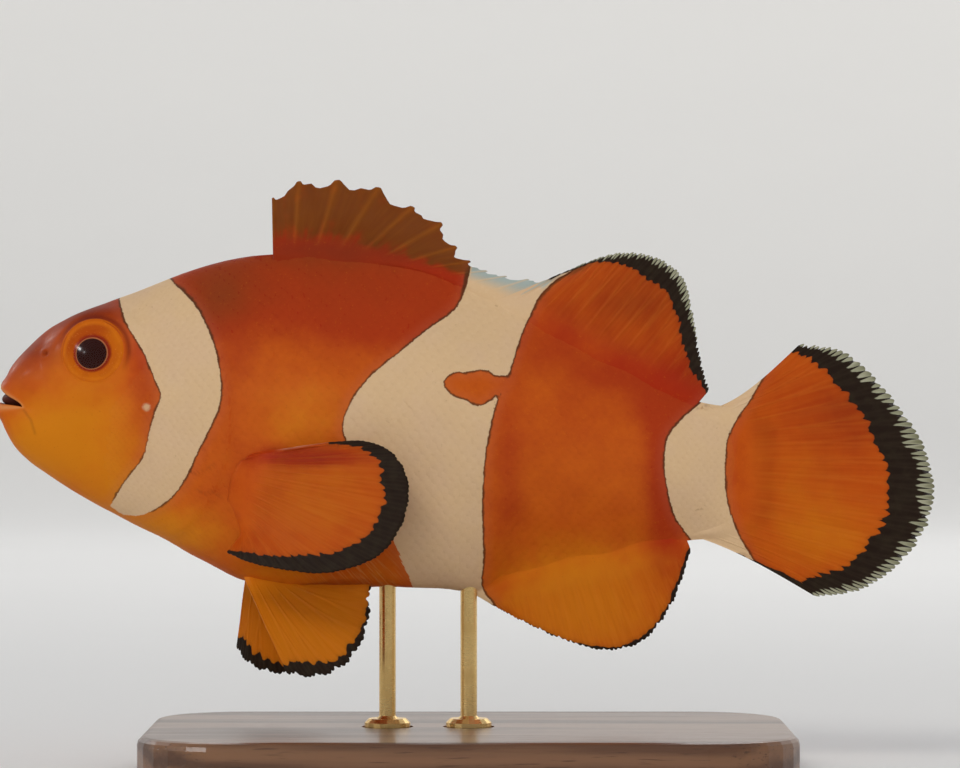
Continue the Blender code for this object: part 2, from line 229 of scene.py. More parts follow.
def only(piece):
    """Makes piece the one selected and active object."""
    bpy.ops.object.select_all(action="DESELECT")
    piece.select_set(True)
    bpy.context.view_layer.objects.active = piece


def fresh(name, add, **settings):
    """A new primitive with nothing else selected."""
    bpy.ops.object.select_all(action="DESELECT")
    add(**settings)
    piece = bpy.context.object
    piece.name = piece.data.name = name
    return piece


def added(name, data):
    """An object that shows a mesh, lamp or camera."""
    holder = bpy.data.objects.new(name, data)
    bpy.context.scene.collection.objects.link(holder)
    return holder


@contextlib.contextmanager
def editing(piece, kind="VERT", select=None):
    """Edit mode on one piece by its corners, edges or faces. select is what to do to all of them first."""
    only(piece)
    bpy.ops.object.mode_set(mode="EDIT")
    bpy.ops.mesh.select_mode(type=kind)
    if select:
        bpy.ops.mesh.select_all(action=select)
    yield
    bpy.ops.object.mode_set(mode="OBJECT")


def choose(piece, kind, chosen):
    """Selects only the corners, edges or faces that are marked True."""
    with editing(piece, kind, "DESELECT"):
        pass
    parts = {"VERT": piece.data.vertices, "EDGE": piece.data.edges, "FACE": piece.data.polygons}
    parts[kind].foreach_set("select", chosen)


def triples(parts, what):
    flat = np.empty(len(parts) * 3, np.float32)
    parts.foreach_get(what, flat)
    return flat.reshape(-1, 3).astype(float)


def corners(piece):
    return triples(piece.data.vertices, "co")


def set_corners(piece, points):
    piece.data.vertices.foreach_set("co", np.ascontiguousarray(points, np.float32).ravel())
    piece.data.update()


def note(piece, name, values):
    """Keeps a number for each corner of a piece, for its material to read."""
    layer = piece.data.attributes.new(name, "FLOAT", "POINT")
    every = np.broadcast_to(values, len(piece.data.vertices))
    layer.data.foreach_set("value", np.ascontiguousarray(every, np.float32))


def sheet_of(name, columns, rows):
    """A flat grid with its own unwrap, and for each corner its column and row."""
    steps = {"x_subdivisions": columns, "y_subdivisions": rows}
    piece = fresh(name, bpy.ops.mesh.primitive_grid_add, size=1, **steps)
    flat = corners(piece) + 0.5
    return piece, np.rint(flat[:, 0] * columns).astype(int), np.rint(flat[:, 1] * rows).astype(int)


def finished(piece, finish, slot, *nodes, angle=None):
    """Gives a piece its finish and shading, rides it on the root, and hides the CAD parts that it stands
    for. slot is not used.
    """
    piece.data.materials.append(finish)
    only(piece)
    if angle:
        bpy.ops.object.shade_smooth_by_angle(angle=math.radians(angle))
    else:
        bpy.ops.object.shade_smooth()
    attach(piece, "root")
    if nodes:
        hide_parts(*nodes)


# --- The skin ---

AROUND = 208
# The gap between rings along the body, and the rows of FACE round the lips, where it is closer.
RING_GAPS = ((0, 0.3), (5.5, 0.16), (24, 0.17), (27, 0.27), (80, 0.27))
LIP_ROWS = range(3, 10)
LIP_GAP = 0.6


def waist(back, belly):
    """The height at which the body is widest."""
    return (back + belly) / 2 + WAIST_LIFT * (back - belly)


def hull_rows():
    """All the rings that shape the skin, from the throat to the root of the tail fin."""
    rows = list(FACE)
    for behind, back, belly, half, crest in BODY:
        upper, lower = (behind, back - COAT), (behind, belly + COAT)
        rows.append((*upper, *lower, behind, waist(back, belly), half - COAT, crest, 2))
    return np.array(rows)


def skin_rings():
    """Places on the smooth skin as [ring, step round, (behind, out, height)], and each ring's row number.

    Rings start under the belly, go up the right side and come down the left.
    """
    rows = hull_rows()
    steps = [np.hypot(*np.diff(rows[:, k : k + 2], axis=0).T) for k in (0, 2, 4)]
    knots = np.r_[0, np.cumsum(np.mean(steps, axis=0))]
    at, numbers = [], []
    spread = 1
    for k, length in enumerate(np.diff(knots)):
        gap = read_off(RING_GAPS, rows[k, 4]) * spread * (LIP_GAP if k in LIP_ROWS else 1)
        count = max(2, round(length / gap))
        at.append(np.linspace(knots[k], knots[k + 1], count, endpoint=False))
        numbers.append(k + np.arange(count) / count)
    at, numbers = np.r_[np.concatenate(at), knots[-1]], np.r_[np.concatenate(numbers), len(knots) - 1]
    row = spline(knots, rows, at)[:, None, :]
    angle = (np.arange(AROUND) / AROUND * 2 - 0.5) * np.pi
    rise, across = np.sin(angle)[None, :], np.cos(angle)[None, :]
    upper = rise > 0
    wrap = 1 - np.abs(across) ** row[..., 8]
    behind = row[..., 4] + (np.where(upper, row[..., 0], row[..., 2]) - row[..., 4]) * wrap
    height = row[..., 5] + (np.where(upper, row[..., 1], row[..., 3]) - row[..., 5]) * np.abs(rise)
    power = 2 * np.where(upper, row[..., 7], read_off(KEEL, row[..., 4]))
    out = row[..., 6] * np.sign(across) * np.abs(across) ** power
    return np.stack([behind, out, height], axis=-1), numbers


def normals(places):
    """Unit normals of a closed grid of rings, pointing outwards."""
    along = np.gradient(places, axis=0)
    round_it = np.roll(places, -1, axis=1) - np.roll(places, 1, axis=1)
    straight = np.cross(round_it, along)
    return straight / np.maximum(np.linalg.norm(straight, axis=-1, keepdims=True), 1e-9)


def flesh_half(behind, height):
    """Half the width of the flesh behind the head at places on the middle plane, and 0 outside it."""
    body = np.array(BODY)
    rows = spline(body[:, 0], body[:, 1:], np.clip(behind, body[0, 0], body[-1, 0]))
    back, belly, half, crest = np.moveaxis(rows, -1, 0)
    middle = waist(back, belly)
    upper = height > middle
    reach = np.where(upper, back - COAT - middle, middle - belly - COAT)
    power = np.where(upper, crest, read_off(KEEL, behind))
    width = (half - COAT) * np.clip(1 - ((height - middle) / reach) ** 2, 0, 1) ** power
    return np.where(behind < body[-1, 0], width, 0)


def flank(places, behind, height):
    """How far the skin stands out from the middle plane at places on its side."""
    behind, height = np.atleast_1d(behind), np.atleast_1d(height)
    near = places[places[..., 1] > 0.2]
    away = np.hypot(near[:, 0] - behind[:, None], near[:, 2] - height[:, None])
    return near[np.argmin(away, axis=1), 1]


def eye_frame(side):
    """The middle of an eye's opening and three axes: along, up and outwards, on the fish in millimetres."""
    look = np.array([EYE_LOOK[0], EYE_LOOK[1] * side, EYE_LOOK[2]])
    look /= np.linalg.norm(look)
    along = np.cross([0, 0, 1], look) * side
    along /= np.linalg.norm(along)
    up = np.cross(look, along) * side
    return np.array([EYE_PLACE[0], side * EYE_OUT, EYE_PLACE[1]]), along, up, look


def round_eye(places, side):
    """For places on the fish: their distance from the eye's axis, and how far they stand out along it."""
    middle, along, up, look = eye_frame(side)
    offset = places - middle
    return np.hypot(offset @ along, offset @ up), offset @ look


def near_eye(places, side, reach):
    """True for places no further from an eye's opening than this."""
    away, depth = round_eye(places, side)
    return (away < EYE_OPEN + reach) & (np.abs(depth) < EYE_NEAR)


def over_eye(behind, height, low):
    """1 above an eye and 0 below it, along the slope of the head."""
    return ramp(height - EYE_PLACE[1] + 0.35 * (behind - EYE_PLACE[0]), low, 1.5)


# Grooves in the face, with their depth and width.
FACE_LINES = [
    (PREOPERCLE, 0.06, 0.32), (INTEROPERCLE, 0.05, 0.25), (CHEEK_EDGE, 0.03, 0.4), (JAW_FOLD, 0.06, 0.28),
]


def relief(places, straight):
    """Adds the forms of the living head and flank to the smooth skin."""
    behind, out, height = np.moveaxis(places, -1, 0)
    wide = np.abs(out)
    gill, _ = beside(behind, height, through(GILL_SLIT, 40))
    open_gill = (1 - ramp(height, 7, 11)) * ramp(behind, 10, 14) * ramp(wide, 1, 3)
    flap = 0.09 * hump(np.minimum(gill + 0.3, 0), 1.6) * (1 - ramp(gill, -0.3, 0.35))
    groove = 0.06 * ramp(gill, -0.2, 0.4) * np.exp(-np.maximum(gill - 0.4, 0))
    lift = open_gill * (flap - groove)
    for line, depth, width in FACE_LINES:
        away, share = beside(behind, height, through(line, 30))
        fade = np.sin(np.pi * np.clip(share, 0, 1))
        lift -= depth * hump(away, width) * fade**0.5
        lift -= depth * 0.5 * hump(away - 0.9, 0.9) * fade
    muscle = np.hypot(behind - PECTORAL_MUSCLE[0], (height - PECTORAL_MUSCLE[1]) * 0.75)
    lift += 0.4 * hump(muscle, 2.2)
    lift += 0.3 * hump(behind - CHEEK[0], 2.5) * hump(height - CHEEK[1], 4.5) * ramp(wide, 2, 4)
    nostril = from_spot(behind, height, NOSTRIL)
    lift += 0.14 * hump(nostril - 0.34, 0.16) - 0.5 * hump(nostril, 0.2)
    lift += 0.05 * np.sin(behind * 0.9 + height * 0.35) * np.sin(height * 0.8 - behind * 0.2)
    shaped = places + straight * lift[..., None]
    for side in SIDES.values():
        away, depth = round_eye(shaped, side)
        near = (1 - ramp(away, EYE_OPEN, EYE_OPEN + EYE_FLARE)) * (out * side > 0)
        upper = 0.25 + 0.75 * over_eye(behind, height, -1.5)
        brow = upper * (0.06 * hump(away - EYE_OPEN - 0.1, 0.3) - 0.12 * hump(away - EYE_OPEN - 0.55, 0.26))
        shaped += eye_frame(side)[3] * (near * (0.82 * -depth) + brow * (out * side > 0))[..., None]
    return shaped


SMOOTH_SKIN, RING_NUMBER = skin_rings()
EYE_OUT = flank(SMOOTH_SKIN, *EYE_PLACE)[0] + EYE_LIFT
SKIN = relief(SMOOTH_SKIN, normals(SMOOTH_SKIN))
SKIN_NORMAL = normals(SKIN)


def skin(finish):
    piece, column, ring = sheet_of("skin", AROUND, len(SKIN) - 1)
    set_corners(piece, settle(SKIN[ring, column % AROUND]))
    # The inside of the mouth, painted dark as shade.
    note(piece, "lining", 1 - ramp(RING_NUMBER[ring], LIP_RING - 0.9, LIP_RING + 0.3))
    # The rims of the lips, for a painted highlight.
    note(piece, "lip", hump(RING_NUMBER[ring] - LIP_RING - 1.2, 0.9))
    with editing(piece, select="SELECT"):
        bpy.ops.mesh.remove_doubles(threshold=1e-7)
        bpy.ops.mesh.fill_holes(sides=0)
        bpy.ops.mesh.normals_make_consistent(inside=False)
    for side in SIDES.values():
        open_eye(piece, side)
    mark(piece)
    flesh = ["head", "lower_jaw", "gill_cover_left", "gill_cover_right", "trunk", "tail_stem"]
    finished(piece, finish, "skin", *flesh)


def boundary_walk(piece, chosen):
    """The corners round an open edge, in order. chosen says which corners may belong to it."""
    sides = {}
    for face in piece.data.polygons:
        for pair in face.edge_keys:
            sides[pair] = sides.get(pair, 0) + 1
    links = {}
    for (a, b), count in sides.items():
        if count == 1 and chosen[a] and chosen[b]:
            links.setdefault(a, []).append(b)
            links.setdefault(b, []).append(a)
    start = min(links)
    walk, before = [start], None
    while True:
        following = [k for k in links[walk[-1]] if k != before]
        if not following or following[0] == start:
            return walk
        before = walk[-1]
        walk.append(following[0])


LEVEL_EASE = 12  # the edge of the opening is levelled over this many corners to each side


def open_eye(piece, side):
    """Cuts the round opening for an eye and turns its edge in, as a lid that meets the eyeball."""
    middle, along, up, look = eye_frame(side)
    centres = on_fish(triples(piece.data.polygons, "center"))
    choose(piece, "FACE", near_eye(centres, side, EYE_CUT))
    with editing(piece, "FACE"):
        bpy.ops.mesh.delete(type="FACE")
    places = on_fish(corners(piece))
    walk = boundary_walk(piece, near_eye(places, side, 1))
    offset = places[walk] - middle
    angles = np.unwrap(np.arctan2(offset @ up, offset @ along))
    even = angles[0] + (angles[-1] - angles[0] > 0 or -1) * np.arange(len(walk)) / len(walk) * 2 * np.pi
    even += np.mean(angles - even)
    level = offset @ look
    level = np.r_[level[-LEVEL_EASE:], level, level[:LEVEL_EASE]]
    width = 2 * LEVEL_EASE + 1
    level = np.convolve(level, np.ones(width) / width, "valid")
    ray = np.cos(even)[:, None] * along + np.sin(even)[:, None] * up
    places[walk] = middle + ray * (EYE_OPEN + EYE_CUT) + level[:, None] * look
    set_corners(piece, settle(places))
    smooth_round(piece, side, walk)
    turn_in(piece, side, walk, ray, level)


def smooth_round(piece, side, walk):
    """Eases the corners next to the opening, leaving its edge as it is."""
    near = near_eye(on_fish(corners(piece)), side, 0.75)
    near[walk] = False
    choose(piece, "VERT", near)
    with editing(piece):
        bpy.ops.mesh.vertices_smooth(factor=0.5, repeat=8)


# The lid's steps in from the cut and out along the eye's axis. The last is behind the eyeball.
LID = [(-0.03, 0.005), (-0.08, 0), (-0.12, -0.03), (-0.15, -0.09), (-0.17, -0.6)]
LID_LEVEL = 0.5  # how much of the opening's unevenness the lid keeps


def turn_in(piece, side, walk, ray, level):
    """Draws the edge of the opening out into the lid."""
    middle, _, _, look = eye_frame(side)
    for inward, outward in LID:
        count = len(piece.data.vertices)
        pairs = {tuple(sorted(pair)) for pair in zip(walk, walk[1:] + walk[:1])}
        choose(piece, "EDGE", [tuple(sorted(edge.vertices)) in pairs for edge in piece.data.edges])
        with editing(piece, "EDGE"):
            bpy.ops.mesh.extrude_edges_move()
        ends = [sorted(edge.vertices) for edge in piece.data.edges]
        follow = {a: b for a, b in ends if a < count <= b}
        walk = [follow[k] for k in walk]
        places = on_fish(corners(piece))
        reach = EYE_OPEN + EYE_CUT + inward
        places[walk] = middle + ray * reach + (level * LID_LEVEL + outward)[:, None] * look
        set_corners(piece, settle(places))


# --- Finishes ---

ORANGE = (0.66, 0.12, 0.006)
RED = (0.42, 0.026, 0.004)
GOLD = (0.72, 0.225, 0.006)
UMBER = (0.22, 0.03, 0.006)
CREAM = (0.77, 0.53, 0.3)
BLUE_WHITE = (0.4, 0.51, 0.5)
BRONZE = (0.14, 0.043, 0.006)
BLACK = (0.019, 0.01, 0.006)
INK = (0.05, 0.032, 0.013)
HALO = (0.55, 0.15, 0.085)
FRINGE = (0.34, 0.34, 0.22)
MOUTH_SHADE = (0.11, 0.024, 0.014)


def maths(operation, turned=False):
    """An operator that adds a Math node, with its two sides exchanged if turned."""

    def operator(self, other):
        return self.worked(operation, *((other, self) if turned else (self, other)))

    return operator


class Field:
    """A number or colour that varies over a surface, with arithmetic that adds its nodes."""

    def __init__(self, finish, socket):
        self.finish, self.socket = finish, socket

    def worked(self, operation, *values):
        return self.finish.node("ShaderNodeMath", {"operation": operation}, dict(enumerate(values)))

    __add__, __radd__ = maths("ADD"), maths("ADD", True)
    __sub__, __rsub__ = maths("SUBTRACT"), maths("SUBTRACT", True)
    __mul__, __rmul__ = maths("MULTIPLY"), maths("MULTIPLY", True)
    __truediv__, __pow__ = maths("DIVIDE"), maths("POWER")

    def sine(self):
        return self.worked("SINE", self)

    def ramp(self, low, high):
        """0 below low and 1 above high, with an easy curve between."""
        reach = {"Value": self, "From Min": low, "From Max": high}
        return self.finish.node("ShaderNodeMapRange", {"interpolation_type": "SMOOTHSTEP"}, reach)


class Finish:
    """A material for one kind of surface, built node by node."""

    def __init__(self, name, **constants):
        self.material = bpy.data.materials.new(name)
        self.material.use_nodes = True
        self.tree = self.material.node_tree
        self.shader = self.tree.nodes["Principled BSDF"]
        self.outlet = self.tree.nodes["Material Output"]
        self.colour = ORANGE
        self.sockets(constants)

    def node(self, kind, settings=None, inputs=None, output=0):
        """A node with its settings made first, then the values or links of its sockets."""
        made = self.tree.nodes.new(kind)
        settings = dict(settings or {})
        stops = settings.pop("stops", [])
        for name, value in settings.items():
            setattr(made, name, value)
        for k, (at, colour) in enumerate(stops):
            stem = made.color_ramp.elements
            element = stem[k] if k < len(stem) else stem.new(1)
            element.position = at
            element.color = (*colour, 1)
        for key, value in (inputs or {}).items():
            self.plug(made.inputs[key], value)
        return Field(self, made.outputs[output])

    def plug(self, socket, value):
        if isinstance(value, Field):
            self.tree.links.new(value.socket, socket)
        elif isinstance(value, tuple) and len(value) == 3 and socket.type == "RGBA":
            socket.default_value = (*value, 1)
        else:
            socket.default_value = value

    def sockets(self, values):
        for name, value in values.items():
            self.plug(self.shader.inputs[name.replace("_", " ")], value)

    @functools.cached_property
    def place(self):
        return self.node("ShaderNodeTexCoord", output="Object")

    def read(self, name):
        return self.node("ShaderNodeAttribute", {"attribute_name": name}, output="Fac")

    def stretched(self, vector, scale):
        return self.node("ShaderNodeMapping", {}, {"Vector": vector, "Scale": scale})

    def slanted(self, turn, longer):
        """Turns places about the side axis, and draws the pattern there out along its new length."""
        inputs = {"Vector": self.place, "Rotation": (0, turn, 0), "Scale": (longer, 0.3 * longer, 1)}
        return self.node("ShaderNodeMapping", {"vector_type": "TEXTURE"}, inputs)

    def noise(self, across, detail=2, vector=None):
        """Noise with features of this size in millimetres."""
        inputs = {"Vector": vector or self.place, "Scale": 1 / (across * MM), "Detail": detail}
        return self.node("ShaderNodeTexNoise", {}, inputs)

    def mix(self, factor, a, b, way="MIX"):
        settings = {"data_type": "RGBA", "blend_type": way}
        return self.node("ShaderNodeMix", settings, {0: factor, 6: a, 7: b}, output=2)

    def glaze(self, share, tone, way="MIX"):
        """Lays a tone over the colour so far."""
        self.colour = self.mix(share, self.colour, tone, way)

    def bump(self, height):
        """Relief of this height in millimetres."""
        return self.node("ShaderNodeBump", {}, {"Height": height, "Distance": MM, "Strength": 1})

    def painted(self, **sockets):
        """The finished material."""
        self.plug(self.shader.inputs["Base Color"], self.colour)
        self.sockets(sockets)
        return self.material

    def see_through(self, alpha, glow, share):
        """Lets light through: glow is the colour of the light, share how much of it comes through."""
        thin = self.node("ShaderNodeBsdfTranslucent", {}, {"Color": glow})
        solid = Field(self, self.shader.outputs[0])
        body = self.node("ShaderNodeMixShader", {}, {0: share, 1: solid, 2: thin})
        clear = self.node("ShaderNodeBsdfTransparent")
        mixed = self.node("ShaderNodeMixShader", {}, {0: alpha, 1: clear, 2: body})
        self.plug(self.outlet.inputs["Surface"], mixed)


def fish_colours(look):
    """The orange of the fish with its red, golden and dark patches, freckles and glints."""
    patch = look.noise(2.6, 3) - 0.5
    fine = look.noise(0.5, 3) - 0.5
    red = look.read("red") + patch * 0.5 + fine * 0.18
    gold = look.read("gold") + (look.noise(1.9, 3) - 0.5) * 0.5 + fine * 0.15
    dim = look.read("dim") + patch * 0.3
    look.glaze(red.ramp(0, 1), RED)
    look.glaze(gold.ramp(0.05, 1), GOLD)
    look.glaze(dim.ramp(0, 1.1), UMBER)
    look.glaze(look.noise(0.16, 2).ramp(0.66, 0.76) * 0.22, UMBER)
    look.glaze(look.noise(0.22, 1).ramp(0.64, 0.8) * 0.16, GOLD)


def white_bars(look):
    """The white bars, lined with black and frayed by the painted glint streaks under the belly, and the
    pale spot.
    """
    ragged = (look.noise(0.42, 2) - 0.5) * 0.22 + (look.noise(0.11, 1) - 0.5) * 0.1
    glint_noise = look.noise(0.15, 2, look.slanted(0.85, 40))
    hair, line = look.read("hair"), look.read("line")
    bar = look.read("bar") + ragged + (glint_noise - 0.5) * hair * 1.6
    # Painted glints: pale slanting streaks over the belly's scales.
    look.glaze(glint_noise.ramp(0.48, 0.66) * hair * 0.36, (0.76, 0.34, 0.11))
    width = line * (0.2 + look.noise(1.3).ramp(0.3, 0.7) * 1.1)
    wide = (line - EDGE_LINE) * 0.8
    look.glaze(bar.ramp(-1.3, -0.1) * 0.15, HALO)
    inked = line.ramp(0, 0.08) * 0.78
    look.glaze(bar.ramp(width * -1 - 0.17 - wide, width * -0.8) * inked, INK)
    cream = look.mix(look.noise(3.2, 3).ramp(0.35, 0.75) * 0.3, CREAM, (0.74, 0.51, 0.36))
    cream = look.mix(look.noise(0.35, 2).ramp(0.45, 0.8) * 0.2, cream, (0.85, 0.64, 0.4))
    fleck = look.noise(0.3, 0).ramp(0.8, 0.86) * look.noise(4).ramp(0.45, 0.6)
    cream = look.mix(fleck * 0.3, cream, (0.35, 0.16, 0.07))
    look.glaze(bar.ramp(-0.03, 0.05), cream)
    look.glaze((look.read("spot") + ragged).ramp(-0.12, 0.25) * 0.75, CREAM)


def skin_finish():
    look = Finish("fish_skin", Specular_IOR_Level=0.08, Coat_Weight=0.02, Coat_Roughness=0.2)
    edge, lining = look.read("edge"), look.read("lining")
    fish_colours(look)
    # Painted highlight: each scale is lighter towards its raised rear edge.
    look.glaze(edge.ramp(0, 0.5) * 0.05, (0.9, 0.36, 0.06))
    # Painted highlight along the rims of the lips.
    look.glaze(look.read("lip") * 0.5, (0.84, 0.4, 0.14))
    white_bars(look)
    # Painted shade in the creases: the nostril, the fold over each eye, and the folds behind the first bar
    # and the mouth.
    look.glaze(look.read("crease") * 0.75, (0.14, 0.012, 0.005))
    # Painted shade: the inside of the mouth is dark.
    look.glaze(lining, MOUTH_SHADE)
    # Painted shade: the front of each scale, where it slips under the one ahead, is darkened.
    look.glaze(look.read("root") * 0.1, (0.35, 0.1, 0.03), "MULTIPLY")
    rough = 0.42 + look.noise(1.4, 2) * 0.16 + lining * 0.1
    height = look.noise(0.13, 2) * 0.012 + look.noise(0.5, 2) * 0.02 + edge * 0.004
    return look.painted(Roughness=rough, Normal=look.bump(height))


def fin_finish():
    look = Finish("fish_fin", Specular_IOR_Level=0.09)
    across = look.stretched(look.node("ShaderNodeTexCoord", output="UV"), (90, 2.6, 1))
    streak = look.node("ShaderNodeTexNoise", {}, {"Vector": across, "Scale": 1, "Detail": 3})
    ray, web, veil, bar = (look.read(name) for name in ("ray", "web", "veil", "bar"))
    fish_colours(look)
    look.glaze(streak.ramp(0.35, 0.75) * web * 0.13, (0.8, 0.26, 0.03))
    look.glaze(streak.ramp(0.6, 0.3) * web * 0.14, RED)
    look.glaze(ray * web * 0.1, (0.86, 0.3, 0.035))
    flame = streak - 0.5 + (look.noise(1.4, 2) - 0.5) * 1.8 - ray * 0.25
    brown = (veil + flame * veil.ramp(0, 0.4) * veil.ramp(1.6, 0.6)).ramp(0.05, 0.95)
    look.glaze(brown * 0.94, look.mix(streak.ramp(0.35, 0.75) * 0.6, BRONZE, (0.22, 0.076, 0.009)))
    look.glaze(ray * veil * 0.38, (0.42, 0.15, 0.018))
    # Painted highlight along the first ray of the pectoral fins.
    look.glaze(look.read("lead") * 0.6, (0.62, 0.33, 0.22))
    white_bars(look)
    look.glaze(veil * bar.ramp(0, 0.25) * (1 - ray * 0.6) * 0.9, BLUE_WHITE)
    ragged = (look.noise(0.28, 2) - 0.5) * 0.2 + (look.noise(1.2, 1) - 0.5) * 0.35
    dark = look.read("dark") + ragged
    inky = look.mix(look.noise(0.9, 2).ramp(0.4, 0.8) * 0.5, BLACK, (0.034, 0.025, 0.013))
    inky = look.mix(ray * 0.3, inky, (0.045, 0.031, 0.018))
    look.glaze(dark.ramp(-0.5, 0) * 0.25, UMBER)
    look.glaze(dark.ramp(-0.05, 0.05), inky)
    pale = look.read("pale") + ragged * 0.8
    wan = look.mix(streak.ramp(0.3, 0.8), FRINGE, (0.52, 0.51, 0.37))
    wan = look.mix(pale.ramp(0.35, 1.5) * 0.7, wan, (0.17, 0.165, 0.085))
    look.glaze(pale.ramp(-0.1, 0.1) * 0.92, wan)
    share = 0.22 * web * dark.ramp(0.1, -0.2) * (1 - bar.ramp(-0.2, 0.1))
    look.see_through(1 - look.read("sheer"), (0.95, 0.3, 0.03), share)
    rough = 0.45 + look.noise(0.8, 2) * 0.18
    height = look.noise(0.12, 1) * 0.012 + streak * web * 0.02
    return look.painted(Roughness=rough, Normal=look.bump(height))


# From the pupil's middle out over its bright ring and the iris to the white of the eye.
EYE_REACH = 4
EYE_STOPS = [
    (0, (0.025, 0.004, 0.002)),
    (0.362, (0.032, 0.005, 0.003)),
    (0.372, (0.5, 0.17, 0.065)),
    (0.386, (0.46, 0.13, 0.04)),
    (0.4, (0.24, 0.016, 0.005)),
    (0.44, (0.32, 0.03, 0.006)),
    (0.49, (0.6, 0.125, 0.004)),
    (0.61, (0.64, 0.15, 0.004)),
    (0.665, (0.69, 0.175, 0.007)),
    (0.715, (0.66, 0.155, 0.006)),
    (0.76, (0.6, 0.12, 0.005)),
    (1, (0.2, 0.03, 0.01)),
]


def eye_finish():
    look = Finish("fish_eye", Roughness=0.5, Specular_IOR_Level=0.04)
    reach = look.read("reach")
    fibre = (look.noise(0.35, 3) - 0.5) * 0.12 + (look.noise(0.1, 2) - 0.5) * 0.05
    share = (reach + fibre * reach.ramp(1.5, 1.9)) / EYE_REACH
    look.colour = look.node("ShaderNodeValToRGB", {"stops": EYE_STOPS}, {0: share})
    redder = look.read("upper") * reach.ramp(1.6, 1.9) * reach.ramp(2.9, 2.5)
    look.glaze(redder * 0.6, (0.4, 0.04, 0.005))
    clouded = look.noise(1.5, 2).ramp(0.42, 0.62) * reach.ramp(1.7, 2.1)
    look.glaze(clouded * 0.35, (0.52, 0.095, 0.005))
    speck = look.noise(0.14, 2).ramp(0.6, 0.75) * reach.ramp(1.6, 2)
    look.glaze(speck * 0.3, (0.85, 0.35, 0.08))
    return look.painted(Normal=look.bump(look.noise(0.2, 3) * 0.03))


def cornea_finish():
    look = Finish("clear_cornea")
    gloss = look.node("ShaderNodeBsdfGlossy", {}, {"Color": (1, 1, 1, 1), "Roughness": 0.16})
    clear = look.node("ShaderNodeBsdfTransparent")
    facing = look.node("ShaderNodeLayerWeight", {}, {"Blend": 0.5}, output="Facing")
    share = (facing**4 * 0.4 + 0.012) * look.read("reach").ramp(1.85, 1.5)
    mixed = look.node("ShaderNodeMixShader", {}, {0: share, 1: clear, 2: gloss})
    look.plug(look.outlet.inputs["Surface"], mixed)
    return look.material


def walnut_finish():
    """Growth rings about a heart that lies under the board, along its length."""
    look = Finish("walnut", Coat_Weight=0.35, Coat_Roughness=0.18, Specular_IOR_Level=0.4)
    grain, fine, pored = (look.stretched(look.place, (along, 1, 1)) for along in (0.1, 0.05, 0.06))
    reach = look.node("ShaderNodeMapping", {}, {"Vector": grain, "Location": (0, 0.007, 0.045)})
    reach = look.node("ShaderNodeVectorMath", {"operation": "LENGTH"}, {0: reach}, output="Value")
    rings = ((reach * 1000 + look.noise(8, 3, grain) * 7) * 1.9).sine() * 0.5 + 0.5
    tone = rings * 0.55 + look.noise(0.5, 3, fine) * 0.45
    look.colour = look.mix(tone.ramp(0.15, 0.85), (0.085, 0.036, 0.016), (0.25, 0.12, 0.055))
    look.glaze(look.noise(22, 2, grain).ramp(0.35, 0.7) * 0.35, (0.16, 0.062, 0.026))
    pores = look.noise(0.22, 2, pored).ramp(0.6, 0.72)
    look.glaze(pores * 0.55, (0.045, 0.018, 0.009))
    return look.painted(Roughness=0.42 - tone * 0.12, Normal=look.bump(rings * 0.006 - pores * 0.02))


def brass_finish():
    look = Finish("brushed_brass", Metallic=1)
    fine = look.noise(0.5, 3, look.stretched(look.place, (1, 1, 8)))
    worn = look.noise(4, 3)
    look.colour = look.mix(worn.ramp(0.35, 0.8), (0.86, 0.6, 0.25), (0.72, 0.46, 0.16))
    return look.painted(Roughness=0.2 + fine * 0.07 + worn * 0.08, Normal=look.bump(fine * 0.0006))


def paper_finish():
    look = Finish("studio_paper", Roughness=0.9, Specular_IOR_Level=0.2)
    look.colour = look.mix(look.noise(60, 2) * 0.5, (0.88, 0.88, 0.87), (0.85, 0.85, 0.845))
    return look.painted(Normal=look.bump(look.noise(1.1, 3) * 0.05))


# --- The fish's markings ---

# Each white bar as its front edge, downwards, and its rear edge, downwards: behind the snout, height. The
# second and third run on over the fins.
BARS = [
    (
        [(11.5, 13.7), (12.5, 11.1), (14.2, 8.4), (15.3, 5.8), (15.9, 4.3), (15.3, 2.7), (14.8, 1),
         (14.2, -1.4), (12.4, -3.8), (10.7, -6.3)],
        [(16.1, 15.7), (19.1, 12.7), (20.6, 9.8), (21.5, 6.3), (21.5, 3.7), (20.6, 1.4), (19.5, -0.7),
         (18.3, -3.2), (17.3, -4.8), (15.5, -6.3), (13.4, -7.2), (11.9, -7.1)],
    ),
    (
        [(45.4, 19), (45.1, 16.2), (43.9, 12.8), (41.1, 10.6), (38.3, 8.3), (35.4, 5.8), (33.9, 3.7),
         (33.1, 1.2), (34.3, -1.5), (36.2, -5.5), (38, -9.9), (39.7, -14.2), (40.5, -17)],
        [(57, 17.9), (55.2, 16.5), (53.2, 15.3), (51.8, 13.9), (51, 12.3), (49.8, 9.5), (48.9, 6.6),
         (47.7, 3.8), (46.7, -0.4), (46.3, -5.4), (46.4, -11.2), (46.4, -14.5), (47.5, -15.9),
         (47.9, -17.5)],
    ),
    (
        [(69, 5.6), (67.3, 3.6), (65.3, 1.9), (64.1, 0.4), (63.7, -1.8), (64.1, -5), (64.9, -7.5),
         (66.1, -9.2), (67.4, -10.8), (68.6, -13)],
        [(74.6, 7.8), (73.3, 6), (72.1, 3.9), (70.9, 2.3), (69.9, 0.4), (69.6, -2), (69.6, -4.2),
         (70, -6.6), (70.8, -8.9), (71.8, -10.6), (72.9, -12.2), (74, -13.6)],
    ),
]
AWAY = -9.0  # the distance inside a marking that stands for nowhere near it
